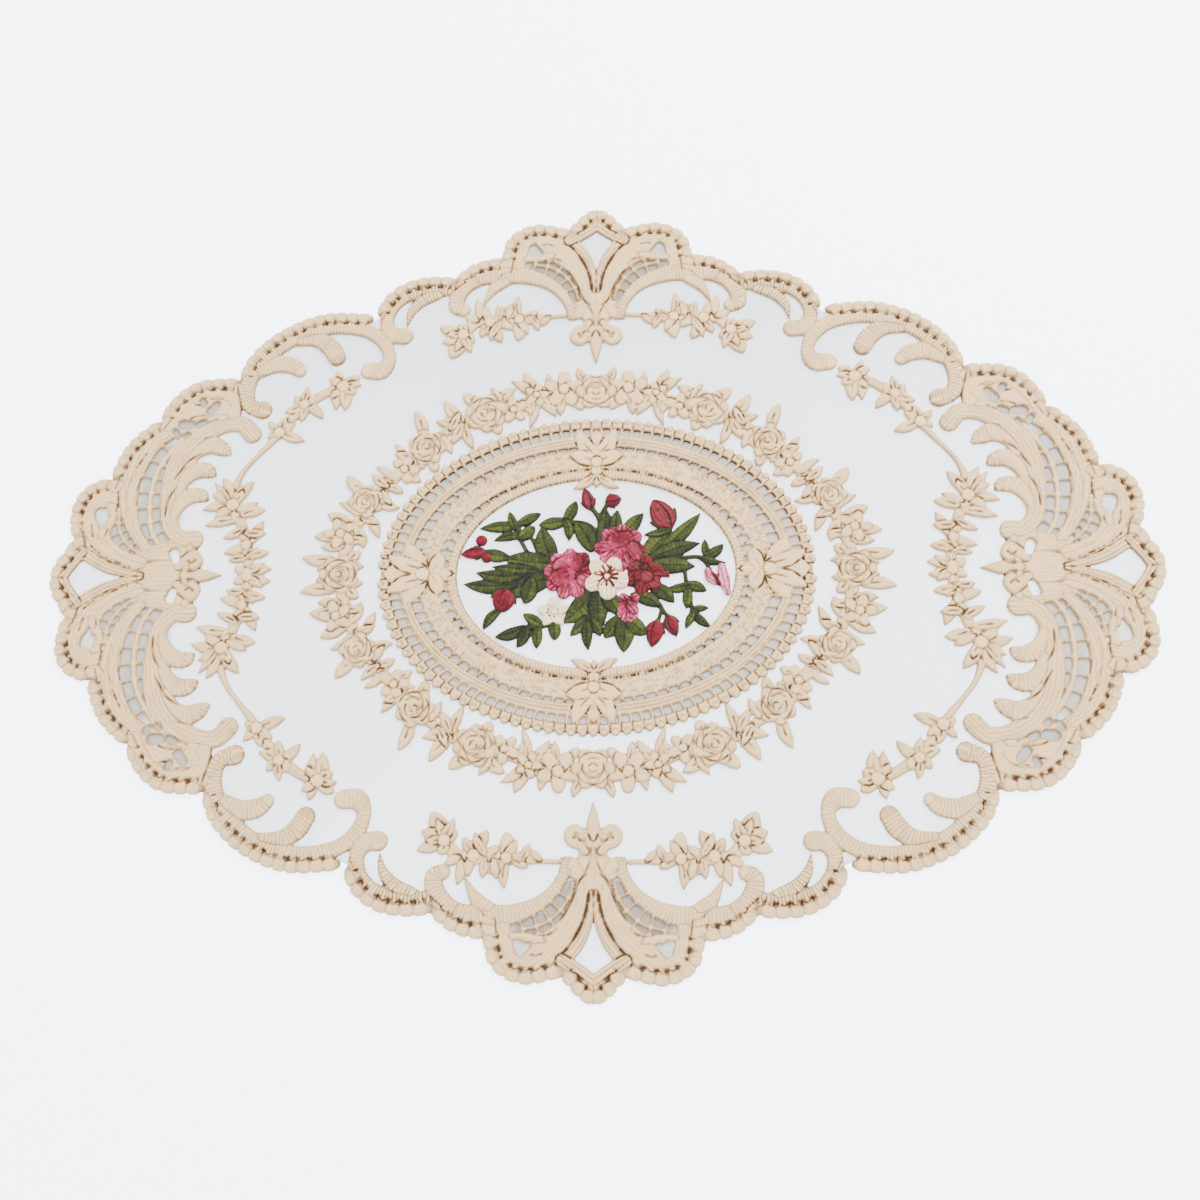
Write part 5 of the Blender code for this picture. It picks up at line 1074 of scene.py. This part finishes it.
makePiece("bouquetLeaves", [bouquetGreen], *green, sprays)


def spots(base, *places, streak=0.12, scale=1.2):
    # a base tint with soft spots of another, each (x, y, radius, change), and fine streaks
    def shade(x, y, t, run):
        tone = base + streak * patchy(x, y, scale, 31)
        for px, py, radius, change in places:
            tone = tone + change * np.exp(-(((x - px) ** 2 + (y - py) ** 2) / radius**2) ** 1.3)
        return tone
    return shade


def flower(name, node, thread, box, petals, shade, marks=(), crown=1.25, over=0.8, rim=0.12, rib=0.9):
    # petals laid one over another, each a short wide stroke from the heart outwards
    field = newField(box, bouquet["petalCell"], bouquet["petalBlend"])
    for rows in petals:
        addStroke(field, rows, rise=rng.uniform(-0.06, 0.1), dome=0.15, over=over,
                  rib=rib if len(rows) > 2 else 0.1, along=True, shade=shade)
    for rows, width, strength in marks:
        addMark(field, rows, width=width, strength=strength, seed=rows[0][0])
    made = raised(field, crown=crown, rounding=0.9, overlap=0, rim=rim, markDepth=0.3)
    makePiece(name, [made], *thread, [node])


def fan(x, y, count, near, far, width, start, sweep=360.0, tip=0.8):
    # petals round a point: near and far ends, and their width
    rows = []
    for k in range(count):
        a = math.radians(start + sweep * k / count)
        c, d = math.cos(a), math.sin(a)
        rows.append([(x + reach * c, y + reach * d, full) for reach, full in
                     ((near, width * 0.6), ((near + far) / 2, width), (far, width * tip))])
    return rows


def rays(x, y, count, near, far, start=0.0, sweep=360.0, width=0.22, strength=0.8):
    # fine dark stitches that run outwards
    marks = []
    for k in range(count):
        a = math.radians(start + sweep * (k + rng.uniform(-0.25, 0.25)) / count)
        ends = near * rng.uniform(0.9, 1.15), far * rng.uniform(0.8, 1.05)
        marks.append(([(x + r * math.cos(a), y + r * math.sin(a)) for r in ends],
                      width, strength * rng.uniform(0.5, 1)))
    return marks


flower("roseLeft", "rose_left", pink, (-24, -14, 4, 13),
       [[(-11.2, 0, 16.4), (-9.2, 0.4, 16.4)]] + fan(-10.2, -0.6, 9, 5, 8.4, 6.4, 12)
       + [[(-13, 2, 9), (-9, 3.6, 8)], [(-15, -2.4, 6.6), (-11.4, -1.4, 7)]],
       spots(0.7, (-4.6, 4.4, 5.2, -0.42), (-14.6, -1.2, 4.6, -0.34), (-8, -9, 5, 0.12), (-13, 9, 4, 0.12)),
       rays(-9.6, 0.2, 16, 6.6, 11.2, 215, 130) + rays(-9, 1, 10, 5, 9.6, 20, 120, strength=0.4)
       + rays(-9, 0, 8, 2, 6, 0, 360, strength=0.5))
flower("roseRight", "rose_right", pink, (-2, -4, 22, 22),
       [[(9.6, 8.4, 15.4), (10.2, 11.6, 15)]] + fan(9.8, 9.4, 8, 4.6, 8.2, 6.4, 40)
       + [[(8, 13, 7), (12, 13.6, 6.4)], [(15, 9.4, 5.6), (16.4, 6.6, 5)]],
       spots(0.74, (10, 13.6, 4.6, -0.46), (17.6, 8.6, 4.4, -0.4), (1.6, 10, 2.6, -0.3), (8, 3, 5, 0.08)),
       rays(9.8, 14, 13, 6, 14.4, 236, 74) + rays(10, 12, 9, 3.4, 7, 10, 180, strength=0.5)
       + rays(10, 13, 7, 1, 4, 0, 360, strength=0.5))
flower("roseRed", "rose_red", red, (10, -12, 30, 9), [[(18.6, -1.6, 11.4), (20.4, -1.8, 11.4)]]
       + fan(19.4, -1.8, 6, 2, 6.0, 6.4, 20) + fan(19.4, -1.6, 3, 0.3, 2.4, 5, 80)
       + [[(24, -1.4, 2.2), (30, -1.6, 2.4), (33.4, -0.9, 1.4)]],
       spots(0.55, (18, 2, 4, -0.25), (22, -4, 3.4, 0.14), (16, -6, 3, -0.2)), rays(19.4, -1.8, 12, 3, 7.4))
petalShade = spots(0.86, (4.6, -2.2, 2.2, -0.4), streak=0.05)
flower("pansy", "pansy", cream, (-7, -13, 16, 8),
       fan(4.4, -2.6, 5, 1.6, 6.0, 7.4, 60, tip=0.95), petalShade,
       rays(4.6, -2.2, 11, 1.7, 4.6, 8, 360, 0.55, 1.5), crown=1.4)
flower("pansyEye", "pansy", cream, (2.6, -4.2, 6.8, 0.2),
       [[(4.5, -2.2, 2.4), (4.7, -2.2, 2.4)]], lambda x, y, t, run: 1.0, crown=1.7, rim=0)
flower("blossomCream", "blossom_cream", cream, (-25, -25, -8, -8),
       fan(-16.8, -16.6, 5, 0.8, 5.4, 4.8, 92, tip=0.5), spots(0.9, streak=0.06),
       [([(-16.8 + r * math.cos(a), -16.6 + r * math.sin(a)) for r in (1.9, 2.2)], 0.36, 1.2)
        for a in (2.6, 3.3, 4.0, 5.0, 5.9, 0.4)], over=0.25, rib=0.4)
flower("blossomPink", "blossom_pink", pink, (4, -24, 22, -6),
       fan(13.2, -17.0, 4, 0.5, 3.2, 3.6, 200, 170) + fan(13.4, -13.6, 4, 0.4, 3.6, 4.6, 40),
       spots(0.86, (13.4, -13.4, 3.6, -0.5)), rays(13.2, -13.4, 7, 3.4, 7.0, 220, 100, strength=0.6)
       + rays(13.4, -13.4, 5, 1.2, 3.4, 30, 150, strength=0.5))
flower("blossomPale", "blossom_pale", pink, (41, -13, 56, 5),
       [[(45.0, -0.6, 3.0), (46.6, -3.4, 4.6), (49.6, -5.4, 2.6)],
        [(50.6, 1.2, 3.4), (51.4, -3.6, 4.8), (52.8, -9.6, 2.6)]],
       spots(0.95, (46, -2.6, 2, -0.12)), rays(48, 1, 5, 2, 4.4, 240, 60, strength=0.4)
       + [([(46, 2), (47.4, -1.6), (49.4, -6.4)], 0.7, 1.6)])
budField = newField(bouquet["budBox"], bouquet["petalCell"], bouquet["blend"])
budShade = spots(0.5, (-38, -13, 3, -0.2), streak=0.25, scale=0.9)
for row in buds.values():
    # two halves that part along the middle
    rows = leafRows(*row)
    rows[:3, 2] *= 1.15
    for side in (-1, 1):
        away = np.array([row[1] - row[3], row[2] - row[0]]) / math.hypot(row[2] - row[0], row[3] - row[1])
        half = rows.copy()
        half[:, :2] += side * away * rows[:, 2:] * 0.16
        half[:, 2] *= 0.72
        addStroke(budField, half, dome=0.25, over=0.7, rib=0.7, along=True, shade=budShade)
for x, y, radius in roundBuds:
    addStroke(budField, [(x - 0.1, y, 2 * radius), (x + 0.1, y, 2 * radius)], dome=0.3, over=0.7, tint=0.45)
budRelief = raised(budField, crown=1.2, rounding=1.0, overlap=0, rim=0.15, markDepth=0.3)
makePiece("buds", [budRelief], *red, list(buds))
print("bouquet stitched")

# floor, light and camera
studio = {"floor": (0.90, 0.91, 0.93), "glow": (3.3, 3.7, 4.6), "halfFloor": 30, "sky": 1.9,
          "skyColour": (1.0, 0.99, 0.97)}
# each light: its place and size in metres, its power and its colour; all shine at the mat's middle
lights = {"keyLight": ((0.55, 0.85, 1.0), 0.6, 36.0, (1.0, 0.97, 0.92)),
          "fillLight": ((-0.9, -0.5, 1.1), 1.2, 6.0, (0.95, 0.97, 1.0))}
brightest = max(studio["glow"])
floorFinish = newMaterial("paleFloor", {
    "Base Color": (*studio["floor"], 1), "Roughness": 0.7, "Emission Strength": brightest,
    "Emission Color": (*(v / brightest for v in studio["glow"]), 1)})[0]
floorMesh = bpy.data.meshes.new("floor")
half = studio["halfFloor"]
square = [(-half, -half, 0), (half, -half, 0), (half, half, 0), (-half, half, 0)]
floorMesh.from_pydata(square, [], [(0, 1, 2, 3)])
floorMesh.materials.append(floorFinish)
floor = bpy.data.objects.new("floor", floorMesh)
bpy.context.scene.collection.objects.link(floor)
for name, (place, size, power, colour) in lights.items():
    light = bpy.data.lights.new(name, "AREA")
    light.size, light.energy, light.color = size, power, colour
    lamp = bpy.data.objects.new(name, light)
    lamp.location = place
    lamp.rotation_euler = (-Vector(place)).to_track_quat("-Z", "Y").to_euler()
    bpy.context.scene.collection.objects.link(lamp)
world = bpy.data.worlds.new("studio")
world.use_nodes = True
background = world.node_tree.nodes["Background"]
background.inputs["Color"].default_value = (*studio["skyColour"], 1)
background.inputs["Strength"].default_value = studio["sky"]
bpy.context.scene.world = world

# the photo's view: angles in degrees, lengths in mm, and focal length and frame in its pixels
view = {"elevation": 72.0, "azimuth": 10.673, "distance": 521.108, "target": (1.947, -11.594),
        "roll": -10.94, "focal": 1293.77, "frame": 1200, "sensor": 36}
rise, swing, roll = (math.radians(view[k]) for k in ("elevation", "azimuth", "roll"))
target = Vector((*view["target"], 0)) * mm
place = Vector((math.cos(rise) * math.sin(swing), -math.cos(rise) * math.cos(swing), math.sin(rise)))
place = place * view["distance"] * mm
ahead = (target - place).normalized()
right = ahead.cross(Vector((0, 0, 1))).normalized()
up = right.cross(ahead)
right, up = right * math.cos(roll) + up * math.sin(roll), up * math.cos(roll) - right * math.sin(roll)
lens = bpy.data.cameras.new("camera")
lens.sensor_width = view["sensor"]
lens.lens = view["focal"] / view["frame"] * view["sensor"]
camera = bpy.data.objects.new("camera", lens)
camera.matrix_world = Matrix.Translation(place) @ Matrix((right, up, -ahead)).transposed().to_4x4()
bpy.context.scene.collection.objects.link(camera)
bpy.context.scene.camera = camera


print("mat finished")
